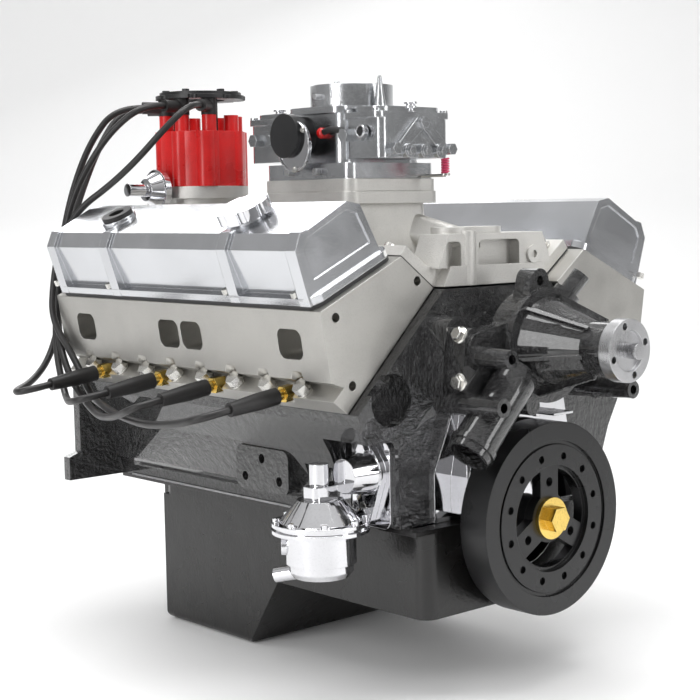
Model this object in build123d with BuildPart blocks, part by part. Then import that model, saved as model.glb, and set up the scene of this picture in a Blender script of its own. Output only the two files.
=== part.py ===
from build123d import *
import math
import os

os.makedirs("parts", exist_ok=True)

# A 90 degree pushrod V8 engine, in mm, +Z up, front of the engine toward -Y.
# The origin is on the crank's axis, at the rear face of its flywheel flange.
# side is -1 on the right bank (toward -X) and 1 on the left bank.

# Bottom end
bore = 101.6
stroke = 88.4
bore_spacing = 111.76
deck_height = 229.2
rod_length = 144.8
main_journal_r = 31.1
pin_journal_r = 26.6
cam_height = 114.8
bank_offset = 22.35
bank_angle = 45.0
run_fit = 0.05
skirt_fit = 0.06

# Block
bell_y = -10.0
block_length = 521.0
end_wall = 22.0
main_web = 26.0
crankcase_r = 87.0
rail_half = 148.0
china_height = 241.2
cam_journal_r = 24.4
deck_in = 66.0
deck_out = 57.0
mount_pad_x = 178.0
mount_hole_depth = 24.0

# Heads and covers
head_gasket = 1.0
head_length = 496.0
rail_angle = 25.2
rail_corner = (235.0, 225.7)
rail_width = 118.0
exhaust_foot = (223.5, 155.0)
intake_in = 112.0
cover_gasket = 4.0
cover_wall = 3.0
cover_flange = 8.0
cover_length = 478.0

# Valves
valve_pitch = 46.0
valve_lean_h = 14.0
valve_length = 112.0
stem_r = 4.35
intake_valve_r = 24.6
exhaust_valve_r = 19.0
spring_r = 15.0
spring_seat = -10.0
rocker_reach = 34.0
rocker_back = 22.0
lifter_r = 10.7
lifter_length = 48.0
pushrod_r = 4.0

# Accessories
damper_r = 101.6
damper_front_y = -605.7
damper_width = 36.0
pump_height = 181.5
pump_face_y = -707.0
pump_hub_r = 31.7
pan_depth = 94.0
sump_depth = 176.0
sheet = 2.5
lead_r = 4.0

# What follows from them
front_y = bell_y - block_length
mean_y = bell_y - 269.2
throw = stroke / 2
head_deck = deck_height + head_gasket
slope = math.radians(bank_angle)
lean = math.radians(rail_angle)
sides = (-1, 1)
pin_ys = [mean_y + bore_spacing * (k - 1.5) for k in range(4)]
main_ys = [mean_y + bore_spacing * (k - 2) for k in range(5)]
pin_angles = [0.0, 90.0, 270.0, 180.0]
bores_along = [bore_spacing * (k - 1.5) for k in range(4)]
exhaust_along = [s * (b + d * valve_pitch / 2)
                 for s in sides for b, d in ((bore_spacing * 0.5, -1), (bore_spacing * 1.5, 1))]
intake_along = [s * (b + d * valve_pitch / 2)
                for s in sides for b, d in ((bore_spacing * 0.5, 1), (bore_spacing * 1.5, -1))]


def centre_y(side):
    """The middle of one bank: the left bank stands forward of the right one."""
    return mean_y - side * bank_offset / 2


def across(y):
    """A plane square to the crank, seen from the front: local x is X and local y is Z."""
    return Plane.XZ.offset(-y)


def bank_point(side, y, height, out=0.0):
    """A point by its height along the bores and its distance out from their plane."""
    x = side * (height * math.sin(slope) + out * math.cos(slope))
    return Vector(x, y, height * math.cos(slope) - out * math.sin(slope))


def bank_plane(side, y, height, out=0.0):
    """A plane square to the bores: local x runs along the crank and local y outward."""
    up = (side * math.sin(slope), 0, math.cos(slope))
    return Plane(origin=bank_point(side, y, height, out), x_dir=(0, -side, 0), z_dir=up)


def rail_point(side, y, inward, height):
    """A point by its place on the cover rail: inward from the outer corner, and above it."""
    x = rail_corner[0] - inward * math.cos(lean) + height * math.sin(lean)
    z = rail_corner[1] + inward * math.sin(lean) + height * math.cos(lean)
    return Vector(side * x, y, z)


def rail_plane(side, y, inward, height):
    """A plane square to the valve stems: local x runs along the crank and local y outward."""
    up = (side * math.sin(lean), 0, math.cos(lean))
    return Plane(origin=rail_point(side, y, inward, height), x_dir=(0, -side, 0), z_dir=up)


def flat(side, points):
    """Outline points of one bank as pairs of X and Z."""
    return [(p.X, p.Z) for p in points]


def save(part, label):
    part.label = label
    export_step(part, "parts/" + label + ".step")


# Valve train places
def seat_point(side, y):
    return bank_point(side, y, head_deck + valve_lean_h)


def seat_on_rail(side):
    """How far in on the rail the valve stems stand, and how deep their heads sit."""
    p = seat_point(side, 0)
    dx = rail_corner[0] - side * p.X
    dz = p.Z - rail_corner[1]
    inward = dx * math.cos(lean) + dz * math.sin(lean)
    height = -dx * math.sin(lean) + dz * math.cos(lean)
    return inward, height


stem_in, seat_h = seat_on_rail(1)
tip_h = seat_h + valve_length
lobe_nose_r = 21.5
lifter_gap = 0.3
lifter_foot = cam_height * math.cos(slope) + lobe_nose_r + lifter_gap
lifter_out = -cam_height * math.sin(slope)


def pushrod_ends(side, y):
    low = bank_point(side, y, lifter_foot + lifter_length - 4, lifter_out)
    high = rail_point(side, y, stem_in + rocker_reach + rocker_back, tip_h - 1.5)
    return low, high


# Cylinder block
block_outline = [
    (0, 162), (30, 168), (60.8, 141.4),
    *flat(1, [bank_point(1, 0, deck_height - 8, -deck_in + 8), bank_point(1, 0, deck_height, -deck_in),
              bank_point(1, 0, deck_height, deck_out)]),
    (200, 110), (178, 72), (160, 24), (rail_half, 12), (rail_half, 0), (0, 0)]

with BuildPart() as cylinder_block:
    with BuildSketch(across(bell_y)):
        with BuildLine():
            Polyline(*block_outline, close=True)
        make_face()
        mirror(about=Plane.YZ)
    extrude(amount=block_length)
    # the walls that close the valley at both ends
    for y in (bell_y, front_y + end_wall + 8):
        with BuildSketch(across(y)):
            with BuildLine():
                inner = bank_point(1, 0, deck_height, -intake_in)
                low = bank_point(1, 0, deck_height, 12 - deck_in)
                deep = bank_point(1, 0, deck_height - 40, 30 - deck_in)
                Polyline((0, china_height), (inner.X, china_height), (low.X, low.Z), (deep.X, deep.Z), (70, 140),
                         (0, 140), close=True)
            make_face()
            mirror(about=Plane.YZ)
        extrude(amount=end_wall + 8)
    # the flange for the bellhousing
    with BuildSketch(across(bell_y)):
        with BuildLine():
            Polyline((0, 0), (228, 0), (228, 28), (212, 34), (212, 112), (162, 158), (90, 228), (0, 236),
                     close=True)
        make_face()
        mirror(about=Plane.YZ)
    extrude(amount=13)
    # pads for the engine mounts
    for x in (-mount_pad_x, mount_pad_x - 40):
        with BuildSketch(Plane.YZ.offset(x)):
            with Locations((mean_y - 62, 44)):
                RectangleRounded(92, 48, 10)
        extrude(amount=40)
    # cylinders, crankcase bays and the cam's tunnel
    for side in sides:
        for along in bores_along:
            with BuildSketch(bank_plane(side, centre_y(side) + along, 78)):
                Circle(bore / 2)
            extrude(amount=deck_height, mode=Mode.SUBTRACT)
    for y in pin_ys:
        bay = bore_spacing - main_web
        with BuildSketch(across(y + bay / 2)):
            Circle(crankcase_r)
            with Locations((0, -crankcase_r / 2)):
                Rectangle(2 * crankcase_r, crankcase_r)
        extrude(amount=bay, mode=Mode.SUBTRACT)
    with BuildSketch(across(bell_y + 1)):
        Circle(main_journal_r + run_fit)
        with Locations((0, cam_height)):
            Circle(cam_journal_r + run_fit)
    extrude(amount=block_length + 2, mode=Mode.SUBTRACT)
    with BuildSketch(across(bell_y + 1)):
        Circle(55)
    extrude(amount=bell_y + 1 - main_ys[-1] - main_web / 2, mode=Mode.SUBTRACT)
    # the lifters' bores
    for side in sides:
        for along in exhaust_along + intake_along:
            with BuildSketch(bank_plane(side, centre_y(side) + along, lifter_foot - 4, lifter_out)):
                Circle(lifter_r + run_fit)
            extrude(amount=60, mode=Mode.SUBTRACT)
    # the distributor's hole through the rear wall
    with BuildSketch(Plane.XY.offset(88)):
        with Locations((-36, -46)):
            Circle(19)
    extrude(amount=180, mode=Mode.SUBTRACT)
    # core recesses in the front face, and the flat for the fuel pump
    with BuildSketch(across(front_y)):
        with Locations((-158, 133), (158, 133)):
            Circle(27)
    extrude(amount=-7, mode=Mode.SUBTRACT)
    with BuildSketch(across(front_y + 72)):
        with Locations((-190, 45)):
            Rectangle(80, 92)
    extrude(amount=73, mode=Mode.SUBTRACT)
    with BuildSketch(across(front_y + 122)):
        with Locations((-192, 28)):
            Rectangle(80, 60)
    extrude(amount=60, mode=Mode.SUBTRACT)
    for x in (-mount_pad_x, mount_pad_x - mount_hole_depth):
        with BuildSketch(Plane.YZ.offset(x)):
            with Locations((mean_y - 92, 34), (mean_y - 32, 34), (mean_y - 62, 56)):
                Circle(5.2)
        extrude(amount=mount_hole_depth, mode=Mode.SUBTRACT)
save(cylinder_block.part, "cylinder_block")

# Main bearing caps, the rear one with the round seat of the pan's seal
with BuildPart() as main_caps:
    for y in main_ys[:-1]:
        with BuildSketch(across(y + main_web / 2)):
            with BuildLine():
                Polyline((-62, 0), (62, 0), (62, -18), (44, -42), (-44, -42), (-62, -18), close=True)
            make_face()
            Circle(main_journal_r + run_fit, mode=Mode.SUBTRACT)
        extrude(amount=main_web)
    with BuildSketch(across(main_ys[-1] + main_web / 2)):
        Circle(57)
        with Locations((0, 60)):
            Rectangle(160, 120, mode=Mode.SUBTRACT)
        Circle(main_journal_r + run_fit, mode=Mode.SUBTRACT)
    extrude(amount=main_web)
save(main_caps.part, "main_caps")

# Cylinder heads, one casting turned round for the other bank
bolt_out = 51.0
bolt_seat_h = 252.0
head_outline = [
    Vector(rail_corner[0], 0, rail_corner[1]),
    rail_point(1, 0, rail_width, 0),
    bank_point(1, 0, head_deck, -intake_in),
    bank_point(1, 0, head_deck, deck_out),
    bank_point(1, 0, bolt_seat_h, deck_out + 3),
    bank_point(1, 0, bolt_seat_h, bolt_out - 10),
    Vector(exhaust_foot[0], 0, exhaust_foot[1])]
face_tilt = math.atan2(rail_corner[0] - exhaust_foot[0], rail_corner[1] - exhaust_foot[1])
plug_height = 140.0
plug_out = 213.0
plug_drop = math.radians(8)
plug_along = [s * a for s in sides for a in (51.5, 172.0)]
bolt_along = [s * a for s in sides for a in (28.0, 84.0, 140.0, 196.0)]


def exhaust_plane(side, y, z):
    """A plane on the head's exhaust face, with its normal pointing out of the engine."""
    x = exhaust_foot[0] + (z - exhaust_foot[1]) * math.tan(face_tilt)
    out = (side * math.cos(face_tilt), 0, -math.sin(face_tilt))
    return Plane(origin=(side * x, y, z), x_dir=(0, side, 0), z_dir=out)


def plug_plane(side, along, reach=0.0):
    """A plane square to a spark plug, some way out from its seat."""
    out = Vector(side * math.cos(plug_drop), 0, -math.sin(plug_drop))
    seat = Vector(side * plug_out, centre_y(side) + along, plug_height)
    return Plane(origin=seat + out * reach, x_dir=(0, side, 0), z_dir=out)


def make_head(side):
    rear = centre_y(side) + head_length / 2
    middle = centre_y(side)
    with BuildPart() as head:
        with BuildSketch(across(rear)):
            with BuildLine():
                Polyline(*[(side * p.X, p.Z) for p in head_outline], close=True)
            make_face()
        extrude(amount=head_length)
        # studs of the rockers, pressed in
        for along in exhaust_along + intake_along:
            with BuildSketch(rail_plane(side, middle + along, stem_in + rocker_reach, -2)):
                Circle(4.7)
            extrude(amount=tip_h + 16)
        # exhaust ports
        for along in (-192, -21.3, 21.3, 192):
            with BuildSketch(exhaust_plane(side, middle + along, 191)):
                RectangleRounded(38, 31, 9)
            extrude(amount=-34, mode=Mode.SUBTRACT)
        # valve guides, spring pockets and combustion chambers
        for group, valve_r in ((exhaust_along, exhaust_valve_r), (intake_along, intake_valve_r)):
            for along in group:
                with BuildSketch(rail_plane(side, middle + along, stem_in, seat_h - 44)):
                    Circle(valve_r + 1)
                extrude(amount=44, mode=Mode.SUBTRACT)
                with BuildSketch(rail_plane(side, middle + along, stem_in, seat_h - 1)):
                    Circle(stem_r + run_fit)
                extrude(amount=valve_length, mode=Mode.SUBTRACT)
                with BuildSketch(rail_plane(side, middle + along, stem_in, spring_seat)):
                    Circle(spring_r + 2)
                extrude(amount=40, mode=Mode.SUBTRACT)
                low, high = pushrod_ends(side, middle + along)
                with BuildSketch(Plane(origin=low, z_dir=high - low)):
                    Circle(pushrod_r + 4)
                extrude(amount=(high - low).length, mode=Mode.SUBTRACT)
        # plug holes and the holes in the ends
        for along in plug_along:
            with BuildSketch(plug_plane(side, along, 20)):
                Circle(11)
            extrude(amount=-20, mode=Mode.SUBTRACT)
            with BuildSketch(plug_plane(side, along)):
                Circle(7)
            extrude(amount=-22, mode=Mode.SUBTRACT)
        with BuildSketch(*[bank_plane(side, middle + a, bolt_seat_h, bolt_out) for a in bolt_along]):
            Circle(10)
        extrude(amount=22, mode=Mode.SUBTRACT)
        with BuildSketch(across(rear - head_length)):
            with Locations((side * 216, 219), (side * 106, 250), (side * 196, 150)):
                Circle(4.8)
        extrude(amount=-20, mode=Mode.SUBTRACT)
    return head.part


turned = Pos(0, 2 * mean_y, 0) * Rot(0, 0, 180)
right_head = make_head(-1)
save(right_head, "cylinder_head_right")
save(turned * right_head, "cylinder_head_left")

# Head gaskets between the decks and the heads
with BuildPart() as head_gaskets:
    for side in sides:
        with BuildSketch(bank_plane(side, centre_y(side) - side * 4, deck_height, (deck_out - deck_in) / 2)):
            Rectangle(480, deck_out + deck_in)
        extrude(amount=head_gasket)
        for along in bores_along:
            with BuildSketch(bank_plane(side, centre_y(side) + along, deck_height)):
                Circle(bore / 2 + 1)
            extrude(amount=head_gasket, mode=Mode.SUBTRACT)
save(head_gaskets.part, "head_gaskets")

# Lower head bolts with their washers
with BuildPart() as head_bolts:
    for side in sides:
        for along in bolt_along:
            with BuildSketch(bank_plane(side, centre_y(side) + along, bolt_seat_h, bolt_out)):
                Circle(8.6)
            extrude(amount=2.4)
            with BuildSketch(bank_plane(side, centre_y(side) + along, bolt_seat_h + 2.4, bolt_out)):
                RegularPolygon(7.8, 6, major_radius=False)
            extrude(amount=9)
save(head_bolts.part, "head_bolts")


# Valve covers
def cover_outline(side, wall, foot_h):
    """The cover's section, drawn wall inside its outer face and down to foot_h."""
    points = [(10 + wall, foot_h), (11 + wall, 60), (24 + wall * 0.6, 72.5 - wall), (88 - wall * 0.5, 76.5 - wall),
              (103 - wall, 66 - wall * 0.5), (107 - wall, foot_h)]
    return [(p.X, p.Z) for p in (rail_point(side, 0, a, b) for a, b in points)]


cover_rear = cover_length / 2


def make_cover(side):
    rear = centre_y(side) + cover_rear
    front = rear - cover_length
    with BuildPart() as cover:
        with BuildSketch(rail_plane(side, (rear + front) / 2, rail_width / 2, cover_gasket)):
            RectangleRounded(cover_length, rail_width - 3, 14)
        extrude(amount=cover_flange)
        with BuildSketch(across(rear - 5)):
            with BuildLine():
                Polyline(*cover_outline(side, 0, cover_gasket), close=True)
            make_face()
        extrude(amount=cover_length - 10)
        with BuildSketch(across(rear - 5 - cover_wall)):
            with BuildLine():
                Polyline(*cover_outline(side, cover_wall, cover_gasket - 1), close=True)
            make_face()
        extrude(amount=cover_length - 10 - 2 * cover_wall, mode=Mode.SUBTRACT)
        # recessed panels in both ends
        for y, depth in ((front + 5, -1.5), (rear - 5, 1.5)):
            with BuildSketch(across(y)):
                with BuildLine():
                    corners = [(17, 26), (19, 58), (28, 66), (84, 69), (95, 60), (98, 26)]
                    Polyline(*[(p.X, p.Z) for p in (rail_point(side, 0, a, b) for a, b in corners)], close=True)
                make_face()
            extrude(amount=depth, mode=Mode.SUBTRACT)
        # ribs down the outer side over the bolts
        for along in cover_bolt_along:
            with BuildSketch(across(centre_y(side) + along + 8)):
                with BuildLine():
                    ribs = [(1, cover_gasket), (2, 16), (8, 62), (22, 75), (30, 74), (30, 70), (13, 58), (12, 16),
                            (12, cover_gasket)]
                    Polyline(*[(p.X, p.Z) for p in (rail_point(side, 0, a, b) for a, b in ribs)], close=True)
                make_face()
            extrude(amount=16)
    return cover.part


cover_bolt_along = (226.0, 112.0, -112.0, -226.0)
filler_along = -112.0
breather_along = 132.0
top_in = 54.0
top_h = 74.5
boss_h = 78.0
plain_cover = make_cover(-1)
save(turned * plain_cover, "valve_cover_left")
with BuildPart() as valve_cover_right:
    add(plain_cover)
    for along in (filler_along, breather_along):
        with BuildSketch(rail_plane(-1, centre_y(-1) + along, top_in, top_h - 4)):
            Circle(20)
        extrude(amount=boss_h - top_h + 4)
    for along in (filler_along, breather_along):
        with BuildSketch(rail_plane(-1, centre_y(-1) + along, top_in, 60)):
            Circle(14)
        extrude(amount=30, mode=Mode.SUBTRACT)
save(valve_cover_right.part, "valve_cover_right")

# Valve cover gaskets
with BuildPart() as valve_cover_gaskets:
    for side in sides:
        with BuildSketch(rail_plane(side, centre_y(side) + cover_rear - cover_length / 2, rail_width / 2, 0)):
            RectangleRounded(cover_length, rail_width - 3, 14)
            RectangleRounded(cover_length - 24, rail_width - 20, 10, mode=Mode.SUBTRACT)
        extrude(amount=cover_gasket)
save(valve_cover_gaskets.part, "valve_cover_gaskets")

# Cover bolts on the flange's ledge
with BuildPart() as cover_bolts:
    for side in sides:
        for along in cover_bolt_along:
            with BuildSketch(rail_plane(side, centre_y(side) + along - side * 15, 5.4,
                                        cover_gasket + cover_flange)):
                RegularPolygon(4.0, 6, major_radius=False)
            extrude(amount=6)
save(cover_bolts.part, "cover_bolts")

# Breather grommet
with BuildPart() as pcv_grommet:
    with BuildSketch(rail_plane(-1, centre_y(-1) + breather_along, top_in, boss_h)):
        Circle(18)
        Circle(9, mode=Mode.SUBTRACT)
    extrude(amount=5)
    with BuildSketch(rail_plane(-1, centre_y(-1) + breather_along, top_in, top_h - 6)):
        Circle(13.8)
        Circle(9, mode=Mode.SUBTRACT)
    extrude(amount=boss_h - top_h + 6)
save(pcv_grommet.part, "pcv_grommet")

# Oil filler cap, lifted straight out of its hole
with BuildPart() as oil_filler_cap:
    with BuildSketch(rail_plane(-1, centre_y(-1) + filler_along, top_in, boss_h)):
        Circle(29)
        with PolarLocations(31, 8):
            Circle(5, mode=Mode.SUBTRACT)
    extrude(amount=13)
    with BuildSketch(rail_plane(-1, centre_y(-1) + filler_along, top_in, top_h - 8)):
        Circle(13.6)
    extrude(amount=boss_h - top_h + 8)
save(oil_filler_cap.part, "oil_filler_cap")

# Intake manifold
intake_gasket = 1.5
flange_low = bank_point(1, 0, head_deck, -intake_in)
flange_high = rail_point(1, 0, rail_width, 0)
flange_dir = (flange_high - flange_low).normalized()
flange_up = Vector(-flange_dir.Z, 0, flange_dir.X)
manifold_y = mean_y - 11.0
pad_top = 344.0


def intake_point(share, off):
    """A point on the manifold's side flange: share along it and off above the head."""
    return flange_low + (flange_high - flange_low) * share + flange_up * off


def intake_bolt_planes(lift=0.0):
    """The seats of the intake bolts on both flanges."""
    planes = []
    for side in sides:
        up = Vector(side * flange_up.X, 0, flange_up.Z)
        seat = intake_point(0.76, intake_gasket + 12 + lift)
        for along in (-205, -164, -60, 60, 164, 205):
            planes.append(Plane(origin=(side * seat.X, centre_y(side) + along, seat.Z), x_dir=(0, 1, 0), z_dir=up))
    return planes


with BuildPart() as intake_manifold:
    with BuildSketch(across(centre_y(-1) + 215)):
        with BuildLine():
            low = intake_point(0, intake_gasket)
            high = intake_point(1, intake_gasket)
            top = intake_point(1, intake_gasket + 12)
            inner = intake_point(0.35, intake_gasket + 12)
            Polyline((0, low.Z), (low.X, low.Z), (high.X, high.Z), (top.X, top.Z), (inner.X, inner.Z), (70, 264),
                     (0, 264), close=True)
        make_face()
        mirror(about=Plane.YZ)
    extrude(amount=462)
    for y in (bell_y - 2, front_y + 40):
        with BuildSketch(across(y)):
            with BuildLine():
                low = intake_point(0, intake_gasket)
                Polyline((0, low.Z), (low.X - 2, low.Z), (70, 264), (0, 264), close=True)
            make_face()
            mirror(about=Plane.YZ)
        extrude(amount=44 if y > mean_y else 38)
    # plenum and pad for the carburettor
    with BuildSketch(Plane.XY.offset(258)):
        with Locations((0, manifold_y)):
            RectangleRounded(128, 150, 18)
    extrude(amount=pad_top - 14 - 258, taper=4)
    with BuildSketch(Plane.XY.offset(pad_top - 14)):
        with Locations((0, manifold_y)):
            RectangleRounded(140, 160, 14)
    extrude(amount=14)
    # eight runners down to the heads
    for side in sides:
        for along in intake_along:
            y = centre_y(side) + along
            foot = intake_point(0.5, intake_gasket + 8)
            start = Vector(side * 30, manifold_y + (y - manifold_y) * 0.3, 306)
            end = Vector(side * foot.X, y - side * 1.5, foot.Z)
            with BuildSketch(Plane(origin=start, x_dir=(0, 1, 0), z_dir=end - start)):
                RectangleRounded(33, 36, 10)
            extrude(amount=(end - start).length)
    # the heads' side of both flanges stays clear of the gaskets
    with BuildSketch(across(bell_y)):
        with BuildLine():
            low = intake_point(0, intake_gasket)
            high = intake_point(1.1, intake_gasket)
            Polyline((low.X, low.Z), (high.X, high.Z), (high.X, low.Z - 20), (low.X, low.Z - 20), close=True)
        make_face()
        mirror(about=Plane.YZ)
    extrude(amount=block_length, mode=Mode.SUBTRACT)
    # thermostat end with its recesses
    with BuildSketch(across(front_y + 46)):
        with BuildLine():
            Polyline((0, 262), (86, 262), (72, 297), (0, 297), close=True)
        make_face()
        mirror(about=Plane.YZ)
    extrude(amount=42)
    with BuildSketch(across(front_y + 4)):
        with Locations((-64, 275)):
            RectangleRounded(22, 28, 6)
        with Locations((4, 270)):
            RectangleRounded(62, 40, 6)
    extrude(amount=-14, mode=Mode.SUBTRACT)
    # upright boss, seat of the water neck and a blind boss beside it
    with BuildSketch(Plane.XY.offset(low.Z)):
        with Locations((-40, front_y + 8)):
            Circle(9)
    extrude(amount=300 - low.Z)
    with BuildSketch(Plane.XY.offset(296)):
        with Locations((-22, front_y + 28)):
            SlotCenterToCenter(46, 42)
    extrude(amount=8)
    with BuildSketch(Plane.XY.offset(305)):
        with Locations((-22, front_y + 28)):
            Circle(15)
    extrude(amount=-24, mode=Mode.SUBTRACT)
    with BuildSketch(across(front_y + 4)):
        with Locations((56, 273)):
            Circle(10)
            Circle(4, mode=Mode.SUBTRACT)
    extrude(amount=3)
    with BuildSketch(Plane.XY.offset(pad_top + 1)):
        with Locations((0, manifold_y)):
            with GridLocations(50, 50, 2, 2):
                Circle(21.5)
    extrude(amount=-40, mode=Mode.SUBTRACT)
    with BuildSketch(Plane.XY.offset(230)):
        with Locations((-36, -46)):
            Circle(19)
    extrude(amount=60, mode=Mode.SUBTRACT)
    with BuildSketch(*intake_bolt_planes()):
        Circle(10.5)
    extrude(amount=24, mode=Mode.SUBTRACT)
save(intake_manifold.part, "intake_manifold")

# Intake gaskets on the heads
with BuildPart() as intake_gaskets:
    for side in sides:
        with BuildSketch(across(centre_y(-1) + 215)):
            with BuildLine():
                a, b, c, d = (intake_point(0.02, 0), intake_point(0.98, 0), intake_point(0.98, intake_gasket),
                              intake_point(0.02, intake_gasket))
                Polyline(*[(side * p.X, p.Z) for p in (a, b, c, d)], close=True)
            make_face()
        extrude(amount=462)
save(intake_gaskets.part, "intake_gaskets")

# Intake bolts
with BuildPart() as intake_bolts:
    with BuildSketch(*intake_bolt_planes()):
        Circle(8)
    extrude(amount=3)
    with BuildSketch(*intake_bolt_planes(3)):
        RegularPolygon(6, 12)
    extrude(amount=7)
save(intake_bolts.part, "intake_bolts")

# Carburettor
spacer = 14.0
plate_z = pad_top + spacer
body_z = plate_z + 18
horn_z = body_z + 64
carb_y = mean_y - 17.0
barrel_r = 20.5
barrel_pitch = 50.0
shaft_z = plate_z + 9
shaft_r = 4.0

with BuildPart() as carburetor_spacer:
    with BuildSketch(Plane.XY.offset(pad_top)):
        with Locations((0, manifold_y)):
            RectangleRounded(136, 156, 12)
            with GridLocations(50, 50, 2, 2):
                Circle(21.5, mode=Mode.SUBTRACT)
    extrude(amount=spacer)
save(carburetor_spacer.part, "carburetor_spacer")

with BuildPart() as throttle_body:
    with BuildSketch(Plane.XY.offset(plate_z)):
        with Locations((0, manifold_y)):
            RectangleRounded(132, 150, 10)
            with GridLocations(barrel_pitch, barrel_pitch, 2, 2):
                Circle(barrel_r, mode=Mode.SUBTRACT)
    extrude(amount=body_z - plate_z)
    for y in (-barrel_pitch / 2, barrel_pitch / 2):
        with BuildSketch(Plane.YZ.offset(-80)):
            with Locations((manifold_y + y, shaft_z)):
                Circle(shaft_r + run_fit)
        extrude(amount=160, mode=Mode.SUBTRACT)
save(throttle_body.part, "throttle_body")

horn_r = 48.0
with BuildPart() as carburetor_body:
    with BuildSketch(Plane.XY.offset(body_z)):
        with Locations((0, carb_y)):
            RectangleRounded(112, 94, 12)
            with Locations((0, manifold_y - carb_y)):
                with GridLocations(barrel_pitch, barrel_pitch, 2, 2):
                    Circle(17, mode=Mode.SUBTRACT)
    extrude(amount=horn_z - body_z)
    # the throttle plates swing up into the wider foot of each bore
    with BuildSketch(Plane.XY.offset(body_z)):
        with Locations((0, manifold_y)):
            with GridLocations(barrel_pitch, barrel_pitch, 2, 2):
                Circle(barrel_r + 0.7)
    extrude(amount=14, mode=Mode.SUBTRACT)
    with BuildSketch(Plane.XY.offset(horn_z - 8)):
        with Locations((0, carb_y)):
            RectangleRounded(122, 94, 14)
            Circle(horn_r - 6, mode=Mode.SUBTRACT)
    extrude(amount=8)
    with BuildSketch(Plane.XY.offset(horn_z)):
        with Locations((0, carb_y)):
            Circle(horn_r)
            Circle(horn_r - 3, mode=Mode.SUBTRACT)
    extrude(amount=26)
    with BuildSketch(Plane.XY.offset(horn_z - 30)):
        with Locations((0, carb_y)):
            Circle(horn_r - 6)
    extrude(amount=40, mode=Mode.SUBTRACT)
    with BuildSketch(Plane.YZ.offset(-horn_r - 6)):
        with Locations((carb_y, horn_z + 12)):
            Circle(3 + run_fit)
    extrude(amount=2 * horn_r + 12, mode=Mode.SUBTRACT)
    # stud of the air cleaner
    with BuildSketch(Plane.XY.offset(horn_z - 31)):
        with Locations((0, carb_y + 26)):
            Circle(3.2)
    extrude(amount=64)
save(carburetor_body.part, "carburetor_body")


bowl_low = body_z + 4.0
bowl_high = horn_z - 16.0


def make_bowl(front, back):
    """A float bowl with its lid, the lid's corner screws and the sight plugs."""
    middle = (front + back) / 2
    with BuildPart() as bowl:
        with BuildSketch(Plane.XY.offset(bowl_low)):
            with Locations((0, middle)):
                RectangleRounded(104, back - front, 8)
        extrude(amount=bowl_high - bowl_low)
        with BuildSketch(Plane.XY.offset(bowl_high)):
            with Locations((0, middle)):
                RectangleRounded(112, back - front, 8)
        extrude(amount=7)
        with BuildSketch(Plane.XY.offset(bowl_high + 7)):
            with Locations((0, middle)):
                RectangleRounded(98, back - front - 12, 14)
        extrude(amount=6)
        with BuildSketch(Plane.XY.offset(bowl_high + 7)):
            with Locations((0, middle)):
                with GridLocations(102, back - front - 14, 2, 2):
                    Circle(4.5)
        extrude(amount=3)
        with BuildSketch(Plane.YZ.offset(-58)):
            with Locations((middle, horn_z - 34)):
                Circle(7)
        extrude(amount=116)
        # fuel inlet fitting on the outer side
        with BuildSketch(Plane.YZ.offset(-52)):
            with Locations((middle + 18, bowl_low + 26)):
                RegularPolygon(8, 6)
        extrude(amount=-14)
    return bowl.part


body_front = carb_y - 47
body_back = carb_y + 47
save(make_bowl(body_front - 60, body_front), "fuel_bowl_front")
save(make_bowl(body_back, body_back + 80), "fuel_bowl_rear")

with BuildPart() as choke_housing:
    with BuildSketch(Plane.YZ.offset(-56)):
        with Locations((carb_y + 20, body_z + 32)):
            Circle(22)
    extrude(amount=-20)
    with BuildSketch(Plane.YZ.offset(-76)):
        with Locations((carb_y + 20, body_z + 32)):
            Circle(25)
    extrude(amount=-10)
save(choke_housing.part, "choke_housing")

with BuildPart() as diaphragm_cover:
    with BuildSketch(across(body_front - 60)):
        with BuildLine():
            Polyline((-38, bowl_high - 36), (-2, bowl_high), (14, bowl_high), (50, bowl_high - 36),
                     (32, bowl_high - 36), (7, bowl_high - 12), (-20, bowl_high - 36), close=True)
        make_face()
    extrude(amount=6)
    with BuildSketch(across(body_front - 60)):
        with Locations((-36, bowl_high - 34), (48, bowl_high - 34), (6, bowl_high - 5)):
            RegularPolygon(7, 6)
    extrude(amount=11)
    with BuildSketch(across(body_front - 60)):
        with Locations((-16, bowl_low + 8), (8, bowl_low + 8), (32, bowl_low + 8)):
            Circle(8)
    extrude(amount=9)
    with BuildSketch(across(body_front - 69)):
        with Locations((-16, bowl_low + 8), (8, bowl_low + 8), (32, bowl_low + 8)):
            RegularPolygon(5, 6)
    extrude(amount=5)
save(diaphragm_cover.part, "diaphragm_cover")


def make_throttle(y):
    """A shaft with its two round plates and the lever on its end."""
    with BuildPart() as shaft:
        with BuildSketch(Plane.YZ.offset(-74)):
            with Locations((y, shaft_z)):
                Circle(shaft_r)
        extrude(amount=148)
        with BuildSketch(Plane.XY.offset(shaft_z - 0.8)):
            with Locations((-barrel_pitch / 2, y), (barrel_pitch / 2, y)):
                Circle(barrel_r - 0.3)
        extrude(amount=1.6)
        with BuildSketch(Plane.YZ.offset(74)):
            with Locations((y, shaft_z)):
                SlotCenterPoint((0, 0), (0, 10), 16)
        extrude(amount=3)
    return shaft.part


save(make_throttle(manifold_y - barrel_pitch / 2), "throttle_shaft_front")
save(make_throttle(manifold_y + barrel_pitch / 2), "throttle_shaft_rear")

with BuildPart() as choke_plate:
    with BuildSketch(Plane.YZ.offset(-horn_r - 8)):
        with Locations((carb_y, horn_z + 12)):
            Circle(3)
    extrude(amount=2 * horn_r + 16)
    with BuildSketch(Plane.XY.offset(horn_z + 11.2)):
        with Locations((0, carb_y)):
            Circle(horn_r - 3.4)
            with Locations((0, 25)):
                Rectangle(100, 50, mode=Mode.SUBTRACT)
    extrude(amount=1.6)
save(choke_plate.part, "choke_plate")

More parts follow.
